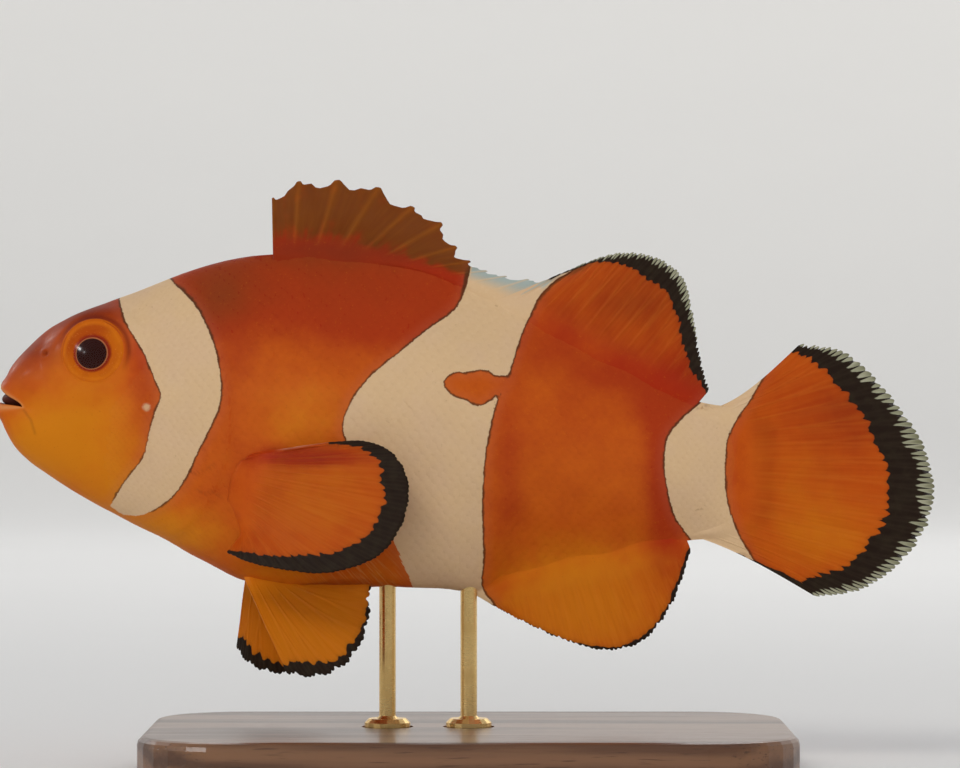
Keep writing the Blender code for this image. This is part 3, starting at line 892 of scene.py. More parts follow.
# An orange island in the second bar of the left side, joined to the orange behind it by a narrow neck.
ISLAND = [
    (42.6, 5.5), (43.5, 6.5), (44.6, 6.5), (45.6, 6.7), (46.8, 6.7), (47.6, 6.2), (48.9, 6.1),
    (49.2, 4.8), (47.9, 4.4), (46.7, 3.6), (45.7, 3.3), (44.8, 3.8), (43.5, 4.3),
]
PALE_SPOT = (14.5, 3.2)
PALE_SPOT_REACH = 0.42

# Soft patches of colour: behind the snout, height, half length, half height, and how red, golden and dark.
BODY_TONES = [
    (8, 0.5, 6.5, 5.5, -0.3, 0.85, 0),
    (3.5, -1, 3.5, 3.5, -0.2, 0.55, 0.05),
    (12, -6, 4.5, 3.5, -0.2, 0.7, 0),
    (7.4, 12.5, 6, 2.2, 0.5, -0.2, 0.85),
    (3.4, 8.9, 3.4, 1.7, 0.25, 0, 0.6),
    (1.8, 6.2, 2.6, 2.2, 0.15, 0, 0.35),
    (14.2, 6, 1.4, 5, 0.4, -0.3, 0),
    (9.4, 8.5, 4.2, 4.2, -0.1, 0.3, 0),
    (22.6, 7, 2, 6, 0.2, 0, 0.05),
    (21, 14, 3.8, 3.6, 0.6, 0, 0.65),
    (32, 15.4, 13, 5.2, 1.1, -0.1, 0.32),
    (33, 18.2, 14, 2, 0.2, 0, 0.45),
    (38.5, 11.5, 6, 3, 0.5, 0, 0),
    (29.3, 1.6, 4, 4.6, -0.15, 0.5, 0),
    (21.8, -3, 2.4, 4, 0.15, 0.15, 0),
    (26.3, -1.6, 1.6, 1.3, 0.6, -0.3, 0.1),
    (17.5, -9, 5, 2.5, -0.1, 0.75, 0),
    (27, -12.6, 4.5, 2.2, -0.1, 0.6, 0),
    (36, -13, 5.5, 2.6, 0, 0.3, 0),
    (48.8, -2, 1.6, 12, 0.35, 0, 0),
    (53, 9.6, 4.5, 3, 0.4, 0, 0),
    (59.5, 6.6, 5, 2.6, 0.5, 0, 0),
    (65, 3.4, 3.5, 2.8, 0.9, 0, 0),
    (64.2, -4, 2, 8, 1, 0, 0.05),
    (55, 2, 5, 3.5, 0.2, 0, 0),
    (56, -11, 8.5, 3, 0, 0.35, 0),
    (56, -16.5, 9, 4.5, -0.1, 1, 0),
    (61.5, 13.4, 7, 4, 0.15, 0, 0.55),
    (66.5, 8, 1.6, 5, 0.3, 0, 0.3),
    (70.4, -3, 1, 7, 0.15, 0, 0),
    (79.5, -9.5, 6.5, 4, -0.1, 0.6, 0),
    (77, -3, 4, 5, 0, 0.3, 0),
    (81.8, 2.6, 5.5, 4.5, 0.3, 0, 0.45),
]
BODY_RED = 0.3
PECTORAL_TONES = [
    # The first patch is painted shade: deep red under the fin's folded upper edge.
    (30, -1.5, 4.6, 0.85, 1.1, 0, 0.25),
    (24.4, -3.5, 1.8, 3.5, 0.15, 0, 0),
    (31, -5.5, 6, 4, -0.15, 0.4, 0),
]
PELVIC_TONES = [(29, -18, 10, 9, -0.35, 1.2, 0)]
# Where the black line round the bars is wider: behind, height, half length, half height, added width.
EDGE_LINE = 0.11
WIDE_LINES = [
    (18.6, 13.4, 2.4, 2.6, 0.1), (44.9, 16, 2, 3, 0.12), (52.4, 14.9, 1.8, 2.4, 0.2),
    (12, -6.9, 2.2, 1, -0.3), (14.6, 0.3, 1.3, 3.6, -0.06), (35, 0.5, 2.4, 5, -0.05),
    (38.3, -12, 2.6, 4, -0.3),
]
# Faint folds in the skin behind the first bar and the mouth, painted dark as shade in them.
FOLDS = [[(18.9, -3.1), (19.9, -2.9), (20.9, -2.3)], [(19.5, -4.8), (20.2, -5), (21, -4.8)], JAW_FOLD]
# Fine slanting streaks under the belly: painted glints on the edges of its scales. They also fray the white
# bar's edge there.
GLINT_STREAKS = [(35, -12.8, 5, 2.6, 1)]
# The dark line in the fold over the eye is painted shade.
BROW_SHADE_REACH = 3.42  # the fold over the eye stands this far from its middle


def blobs(behind, height, rows, column):
    """The sum of soft patches at places on the fish. column says which of a row's amounts is meant."""
    total = np.zeros(np.shape(behind))
    for row in rows:
        away = ((behind - row[0]) / row[2]) ** 2
        total += row[column] * np.exp(-away - ((height - row[1]) / row[3]) ** 2)
    return total


def white_reach(behind, height, out):
    """How far places lie inside the white bars and inside the pale spot; below 0 outside them."""
    reach = np.full(np.shape(behind), AWAY)
    right = ramp(out, 0.5, 3)
    # The two sides of a fish are never quite alike.
    behind = behind + right * 0.45 * np.sin(height * 0.42 + 1)
    island = beside(behind, height, closed_curve(ISLAND), closed=True)[0] - 6 * right
    for front, rear in BARS:
        bar = beside(behind, height, [*through(front, 40), *through(rear, 40)[::-1]], closed=True)[0]
        reach = np.maximum(reach, np.minimum(bar, -island))
    return reach, np.where(right > 0.5, AWAY, PALE_SPOT_REACH - from_spot(behind, height, PALE_SPOT))


def closed_curve(points):
    points = np.asarray(points, float)
    wrapped = np.vstack([points[-3:], points, points[:3]])
    at = np.linspace(3, 3 + len(points), 8 * len(points), endpoint=False)
    return spline(np.arange(len(wrapped)), wrapped, at)


def mark(piece, tones=None):
    """Notes the fish's markings, and the shade painted into its creases, at every corner of a piece. One
    with its own tones has no white bars.
    """
    behind, out, height = on_fish(corners(piece)).T
    barred = tones is None
    for column, (name, least) in enumerate({"red": BODY_RED, "gold": 0, "dim": 0}.items(), 4):
        patches = blobs(behind, height, BODY_TONES if barred else tones, column)
        note(piece, name, np.clip(least + patches, 0, 1))
    reach, spot = white_reach(behind, height, out)
    note(piece, "bar", reach if barred else AWAY)
    note(piece, "spot", spot if barred else AWAY)
    note(piece, "line", np.maximum(EDGE_LINE + blobs(behind, height, WIDE_LINES, 4), 0))
    note(piece, "hair", blobs(behind, height, GLINT_STREAKS, 4) if barred else 0)
    crease = 0.7 * hump(from_spot(behind, height, NOSTRIL), 0.2)
    for side in SIDES.values():
        away, depth = round_eye(np.stack([behind, out, height], axis=-1), side)
        near = (out * side > 0) & (np.abs(depth) < EYE_NEAR)
        brow = near * over_eye(behind, height, -1.2) * 0.8 * hump(away - BROW_SHADE_REACH, 0.24)
        crease = np.maximum(crease, brow)
    for fold in FOLDS if barred else []:
        crease = np.maximum(crease, 0.35 * hump(beside(behind, height, fold)[0], 0.13))
    note(piece, "crease", crease)


# --- The scales ---

SCALE_STEP = 1.12  # from one scale to the next behind it
SCALE_ROW = 1.4  # from one scale to the next above it
SCALE_LENGTH = 1.9
SCALE_WIDTH = 1.62
# Behind the snout, and how large scales are there beside the largest.
SCALE_SIZES = [
    (9, 0.52), (14, 0.6), (22, 0.85), (30, 1), (52, 0.95), (66, 0.72), (72, 0.45),
]
COAT_REACH = (9.6, 71)
COAT_SEAM = 0.004  # the share of the girth that stays bare along the back and the belly
# Scales start behind this line on the face: height, behind.
FACE_EDGE = [(-12, 11.5), (-7, 10.8), (-2, 9.8), (3, 10.4), (6, 12), (9, 13.4), (14, 12)]
BARE_EYE = 4.5  # and this far from the middle of an eye
EVEN_STEPS = 240


def evened():
    """Even steps round every ring: places, normals and steps of the skin's own unwrap, and the girths."""
    share = np.arange(EVEN_STEPS) / EVEN_STEPS
    grids, girths = ([], [], []), []
    for ring, lift in zip(SKIN, SKIN_NORMAL):
        closed, leaning = np.vstack([ring, ring[:1]]), np.vstack([lift, lift[:1]])
        reach = np.r_[0, np.cumsum(np.linalg.norm(np.diff(closed, axis=0), axis=1))]
        girths.append(reach[-1])
        for grid, rows in zip(grids, (closed, leaning, np.arange(AROUND + 1)[:, None] / AROUND)):
            even = [np.interp(share * reach[-1], reach, column) for column in rows.T]
            grid.append(np.stack(even, axis=-1))
    return (*map(np.array, grids), np.array(girths))


EVEN, EVEN_NORMAL, UNWRAP, GIRTHS = evened()
FLANK_RINGS = np.arange(len(SKIN))[RING_NUMBER >= LIP_RING + 1]
FLANK_BEHIND = SMOOTH_SKIN[FLANK_RINGS, AROUND // 4, 0]


def on_skin(grid, ring, share):
    """Rows of a grid over the skin at fractional rings and shares of the girth."""
    ring = np.clip(ring, 0, len(grid) - 1.001)
    i, f = ring.astype(int), (ring % 1)[..., None]
    step = (share % 1) * EVEN_STEPS
    j, g = step.astype(int) % EVEN_STEPS, (step % 1)[..., None]
    k = (j + 1) % EVEN_STEPS
    low = grid[i, j] * (1 - g) + grid[i, k] * g
    return low * (1 - f) + (grid[i + 1, j] * (1 - g) + grid[i + 1, k] * g) * f


def one_scale():
    """One scale as a thin closed plate: its corners, how far behind its root they are, and its faces."""
    piece, column, row = sheet_of("one_scale", 4, 4)
    along, across = column / 4, row / 2 - 1
    x = SCALE_LENGTH * along * (1 - 0.2 * across**2)
    y = SCALE_WIDTH / 2 * across * (0.7 + 0.3 * np.sin(np.pi * np.minimum(along + 0.15, 1) * 0.72))
    z = -0.05 + 0.082 * along - 0.022 * np.abs(across) ** 3
    z += 0.022 * (1 - across**2) * np.sin(np.pi * along)
    z -= 0.008 * np.maximum(np.abs(across), np.abs(2 * along - 1)) ** 4
    set_corners(piece, np.stack([x, y, z], axis=-1))
    with editing(piece, "EDGE", "DESELECT"):
        bpy.ops.mesh.select_non_manifold()
        bpy.ops.mesh.edge_face_add()
        bpy.ops.mesh.select_all(action="SELECT")
        bpy.ops.mesh.normals_make_consistent(inside=False)
    shape, faces = corners(piece), [list(face.vertices) for face in piece.data.polygons]
    bpy.data.objects.remove(piece)
    return shape, along, faces


def ring_at(behind):
    return np.interp(behind, FLANK_BEHIND, FLANK_RINGS)


def girth_at(ring):
    return np.interp(ring, np.arange(len(GIRTHS)), GIRTHS)


def scale_roots(side, chance):
    """Where the scales grow on one side: behind the snout, share of the girth, and size."""
    low, high = (0, 0.5) if side > 0 else (0.5, 1)
    roots = []
    behind, odd = COAT_REACH[0], 0
    while behind < COAT_REACH[1]:
        size, ring = read_off(SCALE_SIZES, behind), ring_at(behind)
        girth = girth_at(ring)
        rows = np.arange(-60, 61) + 0.5 * odd
        share = waist_share(ring, (low + high) / 2) + rows * SCALE_ROW * size / girth
        share = share[(share > low + COAT_SEAM) & (share < high - COAT_SEAM)]
        shake = chance.normal(0, 0.035, (len(share), 2)) * size
        roots += [(behind + a, s + b / girth, size) for s, (a, b) in zip(share, shake)]
        behind += SCALE_STEP / 2 * size
        odd = 1 - odd
    return np.array(roots)


def waist_share(ring, middle):
    """The share of the girth at which the body is widest on one side."""
    i = int(min(round(ring), len(UNWRAP) - 1))
    return np.interp(middle, UNWRAP[i, :, 0], np.arange(EVEN_STEPS) / EVEN_STEPS)


def bare(places):
    """True where the fish has no scales: the snout and chin, round the eyes, under the pectoral fins."""
    behind, _, height = places.T
    away = [round_eye(places, side) for side in SIDES.values()]
    eyes = np.min([np.where(np.abs(depth) < 4, reach, 99) for reach, depth in away], axis=0)
    root = np.hypot((behind - 24.6 + 0.16 * (height + 5)) / 0.75, (height + 5) / 4.4) < 1
    return (behind < read_off(FACE_EDGE, height)) | (eyes < BARE_EYE) | root


def coat(name, side, finish):
    """All the scales of one side."""
    chance = np.random.default_rng(11 + side)
    shape, along, faces = one_scale()
    roots = scale_roots(side, chance)
    roots = roots[~bare(on_skin(EVEN, ring_at(roots[:, 0]), roots[:, 1]))]
    behind, share, size = (roots[:, k : k + 1] for k in range(3))
    ring = ring_at(behind)
    turn = chance.normal(0, 0.05, (len(roots), 1))
    x, y = shape[:, 0] * size, shape[:, 1] * size * (1 + chance.normal(0, 0.04, (len(roots), 1)))
    rings = ring_at(behind + x - turn * y)
    shares = share + (y + turn * x) / girth_at(ring)
    lift = shape[:, 2] * size * (1 + chance.normal(0, 0.12, (len(roots), 1)))
    points = on_skin(EVEN, rings, shares) + on_skin(EVEN_NORMAL, rings, shares) * lift[..., None]
    mesh = bpy.data.meshes.new(name)
    every = [[k + n * len(shape) for k in face] for n in range(len(roots)) for face in faces]
    mesh.from_pydata(settle(points.reshape(-1, 3)), [], every)
    piece = added(name, mesh)
    with editing(piece, select="SELECT"):
        bpy.ops.mesh.normals_make_consistent(inside=False)
    mark(piece)
    # How far along its scale each corner lies, for the bump and for the painted highlight at the rear edge.
    note(piece, "edge", np.tile(along, len(roots)))
    # Painted shade over the front of each scale, under the edge of the one ahead.
    note(piece, "root", np.tile(1 - ramp(along, 0.35, 0.62), len(roots)))
    unwrap_coat(piece, ring[:, 0], share[:, 0], shape)
    finished(piece, finish, "skin", angle=50)


BAKE_PATCH = 0.003  # the side of each scale's patch on the skin's unwrap


def unwrap_coat(piece, ring, share, shape):
    """Gives each scale a small patch at its root's place on the skin's own unwrap."""
    u = on_skin(UNWRAP, ring, share)[:, 0]
    v = ring / (len(SKIN) - 1)
    spread = (shape[:, :2] - shape[:, :2].min(axis=0)) / np.ptp(shape[:, :2], axis=0) - 0.5
    places = np.stack([u, v], axis=-1)[:, None, :] + spread[None, :, ::-1] * BAKE_PATCH
    loops = np.empty(len(piece.data.loops), int)
    piece.data.loops.foreach_get("vertex_index", loops)
    layer = piece.data.uv_layers.new(name="OFBake")
    layer.data.foreach_set("uv", places.reshape(-1, 2)[loops].astype(np.float32).ravel())


# --- The fins ---

FIN_BED = 1.5  # the roots are sunk this deep in the flesh
SUNK = 0.12  # the edge of a wrapped root lies this far under the flesh

# A fin runs from its roots to its tips, each a smooth line of points from its first ray to its last, as
# behind, out and height. These hold where a fin doesn't say otherwise.
PLAIN_FIN = {
    "per_ray": 16,  # steps from ray to ray
    "split": 1,  # how far the rays fork
    "calm": 0,  # how much the scallops of the rim fade towards the rear
    "still": (9, 1),  # where along the fin it doesn't wave, and over what share
    "arch": (0, 0),  # how far the first and last ray bend down
    "bow": 0,  # how far the middle of the fin stands out
    "curl": 0,  # how far its first ray does
    "thick": (0.45, 0.09, 0.13),  # of the root, the membrane and the rays
    "fillet": 1.1,  # the flesh of the root thins out over this height
    "swell": 0,  # how much thicker the root grows in the flesh
    "wraps": False,  # whether it lies over the flesh that it grows out of
    "sheer": (0, 0),  # how clear the membrane is at the root and out
    "fringe": [0],  # pale width in from the rim, spread evenly over the rays, as the black is
    "hem": 0,  # black width along the last ray
    "veil": 0,  # how bronze the fin is
    "rim_veil": 0,  # how bronze its rim is in front
    # The first ray's pale line is a painted highlight.
    "lead": 0,  # how pale the first ray is
    "tones": None,  # its own patches of colour
}


def ridge(first, last, upper, count=9):
    """Points along the back or the belly for a fin to stand on."""
    behind = np.linspace(first, last, count)
    column = 1 if upper else 2
    height = spline([row[0] for row in BODY], [[row[column]] for row in BODY], behind)[:, 0]
    return [(s, 0, h - (COAT if upper else -COAT)) for s, h in zip(behind, height)]


def on_middle(line):
    return [(behind, 0, height) for behind, height in line]


MEDIAN_FINS = {
    "dorsal_spiny": {
        "roots": ridge(26.2, 48.6, upper=True),
        "tips": on_middle([
            (26.1, 23.4), (28.7, 25), (32.4, 25.1), (36.4, 24.4), (39.8, 22.6), (42.6, 20.9), (43.9, 18.6),
            (45.3, 17.2), (46.9, 16.3), (48.8, 15.8), (50.8, 15.5), (52.9, 15.4),
        ]),
        "rays": 11, "rows": 34, "split": 0, "notch": 0.34, "scallop": 0.5, "calm": 0.6,
        "ripple": (0.35, 2.3), "still": (1, 0.12), "thick": (0.45, 0.07, 0.17), "wraps": True,
        "teeth": [0], "black": [0], "sheer": (0, 0.07), "veil": 1,
    },
    "dorsal_soft": {
        "roots": ridge(47.4, 67.2, upper=True),
        "tips": on_middle([
            (52.2, 15.2), (54.9, 16.5), (57.5, 17.6), (59.8, 18.1), (62.2, 17.95), (64.3, 17), (65.8, 15.4),
            (66.5, 12.9), (67, 10.2), (67.5, 7.4), (68.2, 4.9),
        ]),
        "rays": 15, "rows": 40, "notch": 0.22, "scallop": 0.06,
        "ripple": (0.45, 1.4), "still": (0, 0.12), "wraps": True, "teeth": [0.26], "rim_veil": 0.9,
        "black": [0, 0.12, 0.35, 1.15, 2, 2.5, 2.3, 1.95, 1.65, 1.6, 1.35, 0.5],
        "fringe": [0, 0, 0.35, 0.75, 1, 1.15, 1.1, 1, 0.8, 0.2, 0, 0],
    },
    "anal": {
        "roots": ridge(45, 66, upper=False),
        "tips": on_middle([
            (47.3, -15.8), (48.9, -16.8), (50.9, -17.8), (53.4, -19), (56.6, -20), (59.4, -20.2),
            (62, -19.2), (64, -16.9), (65.3, -14.2), (66.4, -10.7),
        ]),
        "rays": 13, "per_ray": 14, "rows": 36, "notch": 0.2, "scallop": 0.08,
        "ripple": (0.4, 1.2), "wraps": True, "teeth": [0.24],
        "black": [0, 0.1, 0.12, 0.2, 0.32, 0.42, 0.5, 0.5, 0.45, 0.4],
    },
    "tail": {
        "roots": on_middle([
            (67, 3.05), (69.2, 2.65), (70.5, 1.6), (71, -0.5), (71.1, -3), (71, -5.6), (70.4, -7.7),
            (69, -8.8), (66.6, -9.3),
        ]),
        "tips": on_middle([
            (77.1, 9.4), (81.4, 8.5), (85.6, 4.6), (88.7, 0.1), (90, -4.2), (89.3, -8.5), (86.5, -12.2),
            (83, -14.5), (78.6, -15.2),
        ]),
        "rays": 16, "rows": 62, "notch": 0.34, "scallop": 0,
        "ripple": (0.55, 1.1), "arch": (1.35, -0.5), "thick": (0.6, 0.1, 0.14), "fillet": 3, "wraps": True,
        "teeth": [0.42], "hem": 0.95,
        "black": [1.2, 2.9, 3.6, 4.2, 4.5, 4.5, 3.9, 3, 2],
        "fringe": [0.5, 1.3, 1.7, 1.9, 2, 1.9, 1.7, 1.4, 0.7],
    },
}


def on_side(side, points):
    """Points given as behind, height and out, on one side of the fish."""
    return [(behind, side * out, height) for behind, height, out in points]


PECTORAL_ROOTS = [(26, -0.9), (24.9, -2.2), (24.1, -4.2), (23.7, -6.6), (23.6, -8.8)]
PECTORAL_TIPS = [
    (32, -0.1, 7.5), (35.4, 0, 8.8), (37.9, -1, 10.6), (39.2, -2.9, 11.6), (39.5, -5.4, 12.1),
    (38.7, -8.1, 12.3), (37, -10.4, 12.2), (34.4, -11.7, 11.9), (31.2, -12.3, 11.3), (27.6, -12, 10.4),
    (24.6, -11.4, 9.3), (22.2, -10.5, 8.2),
]
PELVIC_ROOTS = [(23.5, -13.1, 1.4), (25.1, -13.4, 1.3), (26.8, -13.7, 1.2), (28.4, -13.85, 1.1)]
LEFT_PELVIC_TIPS = [
    (27.9, -22.2, 6.2), (30.8, -22.4, 5.9), (33.6, -21.2, 5.3), (35.5, -17.9, 4.3), (35.9, -13.7, 3.2),
]
RIGHT_PELVIC_TIPS = [
    (22.3, -20.4, 7), (23.6, -22, 6.8), (26.4, -22.9, 6), (29.6, -21.9, 4.7), (32.6, -17.2, 2.6),
]


def pectoral(side):
    out = flank(SKIN, *np.array(PECTORAL_ROOTS).T) + 0.1
    return {
        "roots": on_side(side, [(s, h, o) for (s, h), o in zip(PECTORAL_ROOTS, out)]),
        "tips": on_side(side, PECTORAL_TIPS),
        "rays": 16, "per_ray": 14, "rows": 46, "notch": 0.12, "scallop": 0.05,
        "ripple": (0.3, 1.6), "bow": side * 0.7, "curl": side * 0.55,
        "thick": (0.9, 0.1, 0.12), "fillet": 2, "swell": 0.45,
        "teeth": [0.38, 0.38, 0.38, 0.32, 0.26, 0.2, 0.12], "lead": 1, "tones": PECTORAL_TONES,
        "black": [0.15, 0.75, 1.9, 2.45, 2.45, 2.4, 2.3, 2.05, 1.75, 1.35, 0.85, 0.25],
    }


def pelvic(side):
    return {
        "roots": on_side(side, PELVIC_ROOTS),
        "tips": on_side(side, RIGHT_PELVIC_TIPS if side > 0 else LEFT_PELVIC_TIPS),
        "rays": 6, "per_ray": 20, "rows": 40, "notch": 0.18, "scallop": 0.35,
        "ripple": (0.35, 1), "bow": side * 0.5, "thick": (0.8, 0.1, 0.16),
        "teeth": [0.35], "black": [1.3, 1.5, 1.25, 0.7, 0.3], "tones": PELVIC_TONES,
    }


def even_row(rows, u):
    rows = np.asarray(rows, float)
    return spline(np.arange(len(rows)), rows, u * (len(rows) - 1))


def spread(values, share):
    """A value at shares of a line over which the given ones are spread evenly."""
    return np.interp(share, np.linspace(0, 1, len(values)), values)


def ribs(u, v, rays, split):
    """How close a place is to a fin ray, from 0 to 1. Rays fork twice on their way to the rim."""
    off = u * rays - np.rint(u * rays)
    fork = split * 0.245 * ramp(v, 0.3, 0.95)
    twig = split * 0.115 * ramp(v, 0.58, 1)
    near = np.min([np.abs(off - a * fork - b * twig) for a in (-1, 1) for b in (-1, 1)], axis=0)
    return hump(near, 0.085 - 0.025 * split * v)


def per_twig(chance, u, rays):
    """A random number from 0 to 1 for each of the four twigs of every ray, eased from one to the next."""
    return np.interp(u * rays * 4, np.arange(rays * 4) + 0.5, chance.random(rays * 4))


def fin(name, plan, finish):
    """A rayed fin that stands for the solid of its name."""
    plan = PLAIN_FIN | plan
    thin = 1
    rays, rows = plan["rays"], plan["rows"] // thin
    columns = rays * plan["per_ray"] // thin
    piece, column, row = sheet_of(f"web_{name}", columns, rows)
    seed = len(piece.name)
    u, v = column / columns, row / rows
    root, tip = even_row(plan["roots"], u), even_row(plan["tips"], u)
    reach = np.linalg.norm(tip - root, axis=1)
    at_rim = np.clip(2.6 * ribs(u, np.ones_like(u), rays, plan["split"]), 0, 1)
    stub = per_twig(np.random.default_rng(seed), u, rays)
    valley = np.abs(2 * (u * rays - np.rint(u * rays))) ** 1.3
    cut = plan["notch"] * ((1 - at_rim) * (0.6 + 0.8 * stub) + 0.8 * stub)
    cut += plan["scallop"] * valley * (1 - plan["calm"] * ramp(u, 0.6, 0.75))
    bed = FIN_BED / reach
    along = -bed + v * (1 - cut / reach + bed)
    free, above = np.clip(along, 0, 1), along * reach
    size, waves = plan["ripple"]
    edge, width = plan["still"]
    size = size * (1 - hump(u - edge, width))
    places = root + (tip - root) * along[:, None]
    places[:, 1] += plan["bow"] * np.sin(np.pi * free)
    places[:, 1] += size * np.sin(2 * np.pi * (u * waves + 0.15 * seed)) * free**1.5
    first, last = plan["arch"]
    places[:, 2] -= (first * hump(u, 0.1) + last * hump(1 - u, 0.1)) * np.sin(np.pi * free**0.75)
    places[:, 1] += 0.018 * np.cos(2 * np.pi * u * rays) * ramp(free, 0.1, 0.5)
    places[:, 1] += plan["curl"] * hump(u, 0.06) * ramp(free, 0, 0.5)
    set_corners(piece, settle(places))
    ray = ribs(u, free, rays, plan["split"])
    paint_fin(piece, plan, u, free, np.maximum(above, 0), places, ray, stub)
    thicken(piece, plan, places, u, above, free, ray)
    finished(piece, finish, "fin", f"fin_{name}")


def paint_fin(piece, plan, u, free, rise, places, ray, stub):
    """Notes the fin's rays, black margin, pale fringe and clear membrane at its corners."""
    behind, _, height = places.T
    rim = even_row(plan["tips"], np.linspace(0, 1, 120))[:, (0, 2)]
    inward, share = beside(behind, height, rim)
    inward = np.abs(inward)
    width, fringe = (spread(plan[name], share) for name in ("black", "fringe"))
    # The orange ends in rounded lobes, two to a ray, with the black drawn in between them.
    lobe = np.abs(np.sin(np.pi * (2 * u * plan["rays"] + 0.5 * (stub - 0.5)))) ** 0.6
    uneven = (lobe - 0.5) * (0.5 + stub) + 1.3 * (stub - 0.5)
    tooth = spread(plan["teeth"], u) * uneven * ramp(free, 0.2, 0.6) * ramp(width, 0, 1.2)
    strip = np.clip(3.4 * ray, 0, 1)
    dark = np.where(width > 0.02, width - inward - tooth, AWAY)
    aside = (1 - u) * np.linalg.norm(np.diff(rim, axis=0), axis=1).sum() * free
    hem = plan["hem"] * ramp(free, 0.28, 0.95)
    note(piece, "dark", np.where(hem > 0.02, np.maximum(dark, hem - 0.05 - aside), dark))
    strips = fringe * (1 - 0.9 * (1 - strip) - 0.55 * stub) - inward
    note(piece, "pale", np.where(fringe > 0.02, strips, AWAY))
    note(piece, "ray", ray)
    note(piece, "web", ramp(rise, 0.4, 3))
    rim_veil = plan["rim_veil"] * ramp(0.9 - inward, 0, 0.7) * ramp(0.3 - u, 0, 0.15)
    note(piece, "veil", np.maximum(plan["veil"] * ramp(rise, 0.4, 3.4), rim_veil))
    note(piece, "lead", plan["lead"] * hump(u, 0.018) * ramp(rise, 0.8, 2))
    low, high = plan["sheer"]
    sheer = low + (high - low) * ramp(free, 0.15, 0.6) * (1 - 0.8 * ray)
    glassy = 0.3 * ramp(0.6 * fringe - inward, 0, 0.4) * (1 - strip) * (fringe > 0.02)
    note(piece, "sheer", np.maximum(sheer, glassy))
    mark(piece, plan["tones"])


def thicken(piece, plan, places, u, above, free, ray):
    """Gives the fin its thickness: a fleshy root that runs out into thin membrane over tapering rays."""
    root, membrane, rib = plan["thick"]
    inner, rise = ramp(np.minimum(u, 1 - u), -0.02, 0.1), np.maximum(above, 0)
    width = membrane + (root - membrane) * inner * np.exp(-rise / plan["fillet"])
    width += rib * ray * (1 - 0.62 * free) * ramp(rise, 0.3, 2.5)
    width += plan["swell"] * np.maximum(-above, 0) * inner
    if plan["wraps"]:
        risen = ramp(above, -FIN_BED, -0.1 * FIN_BED)
        flesh = np.maximum(flesh_half(places[:, 0], places[:, 2]) - SUNK * (1 - risen), 0)
        width = 2 * np.hypot(width / 2 * risen, flesh)
    most = width.max()
    group = piece.vertex_groups.new(name="thickness")
    for index, share in enumerate(np.clip(width / most, 0, 1)):
        group.add([index], float(share), "REPLACE")
    modifier = piece.modifiers.new("thickness", "SOLIDIFY")
    modifier.thickness = most * MM
    modifier.offset = 0
    modifier.vertex_group = group.name
    only(piece)
    bpy.ops.object.modifier_apply(modifier=modifier.name)
    piece.vertex_groups.clear()


# --- The eyes ---

EYE_SIZE = (3.5, 1.9)  # of the eyeball: across its axis and along it
EYE_DEPTH = 1.15  # its middle lies this far behind the opening
PUPIL = 1.46
IRIS_EDGE = 2.75
DOME = (0.66, 3.15)  # how high the front of the eye stands over its rim, and the rim's radius
PUPIL_SHIFT = (0.2, -0.27)  # the pupil lies this far forwards of the opening's middle, and below it
IRIS_DEPTH = 0.34  # the pupil lies this far under the iris's edge
LENS = 0.3  # how high the lens bulges
CLEARANCE = 0.03  # from the iris to the front of the eye


def ball_of(name, segments, rings):
    return fresh(name, bpy.ops.mesh.primitive_uv_sphere_add, segments=segments, ring_count=rings, radius=1)


def close_ball(piece, places):
    """Shapes a ball, with its faces turned outwards."""
    set_corners(piece, settle(places))
    with editing(piece, select="SELECT"):
        bpy.ops.mesh.normals_make_consistent(inside=False)


def eye_ball(name, side, finish, segments, rings, shape, *nodes):
    """Part of an eyeball about its own axis. shape turns a reach and a height on it into a new height."""
    middle, along, up, look = eye_frame(side)
    piece = ball_of(name, segments, rings)
    ball = corners(piece)
    # The rings are drawn together towards the pole that shows.
    polar = np.pi * (np.arccos(np.clip(ball[:, 2], -1, 1)) / np.pi) ** 1.25
    angle = np.arctan2(ball[:, 1], ball[:, 0])
    reach = np.sin(polar) * EYE_SIZE[0]
    level = shape(reach, np.cos(polar) * EYE_SIZE[1]) - EYE_DEPTH
    shifted = 1 - ramp(reach, 0.8, 3)
    x = np.cos(angle) * reach + PUPIL_SHIFT[0] * shifted
    y = np.sin(angle) * reach + PUPIL_SHIFT[1] * shifted
    close_ball(piece, middle + x[:, None] * along + y[:, None] * up + level[:, None] * look)
    note(piece, "reach", np.where(level + EYE_DEPTH > 0, reach, EYE_SIZE[0]))
    note(piece, "upper", ramp(x * 0.6 + y, 0.2, 2))
    finished(piece, finish, "eye", *nodes)


def dome(reach):
    """The front of the eye swells smoothly out of the plane of its opening."""
    bulge = DOME[0] * (0.5 + 0.5 * np.cos(np.pi * np.clip(reach / DOME[1], 0, 1)))
    return (EYE_DEPTH - CLEARANCE + bulge) * (1 - ramp(reach, DOME[1], EYE_SIZE[0]))


def iris_shape(reach, level):
    """The iris lies a little way in, and the lens bulges through the pupil."""
    sunk = IRIS_DEPTH * (1 - ramp(reach, PUPIL, IRIS_EDGE)) + CLEARANCE
    lens = LENS * np.sqrt(np.clip(1 - (reach / PUPIL) ** 2, 0, 1))
    ring = 0.05 * hump(reach - PUPIL - 0.08, 0.07)
    return np.where(level > 0, dome(reach) - sunk + lens + ring, level - CLEARANCE)


def clear_shape(reach, level):
    return np.where(level > 0, dome(reach) + CLEARANCE / 2, level * 0.2)


TONGUE = ((2.5, 0, 3.95), (2.3, 1.7, 0.95))  # its middle and half sizes


def tongue(finish):
    """A dark tongue fills the mouth behind the lips, standing in for the shade inside the mouth."""
    piece = ball_of("tongue", 40, 24)
    close_ball(piece, corners(piece) * TONGUE[1] + TONGUE[0])
    note(piece, "lining", 1)
    finished(piece, finish, "skin")


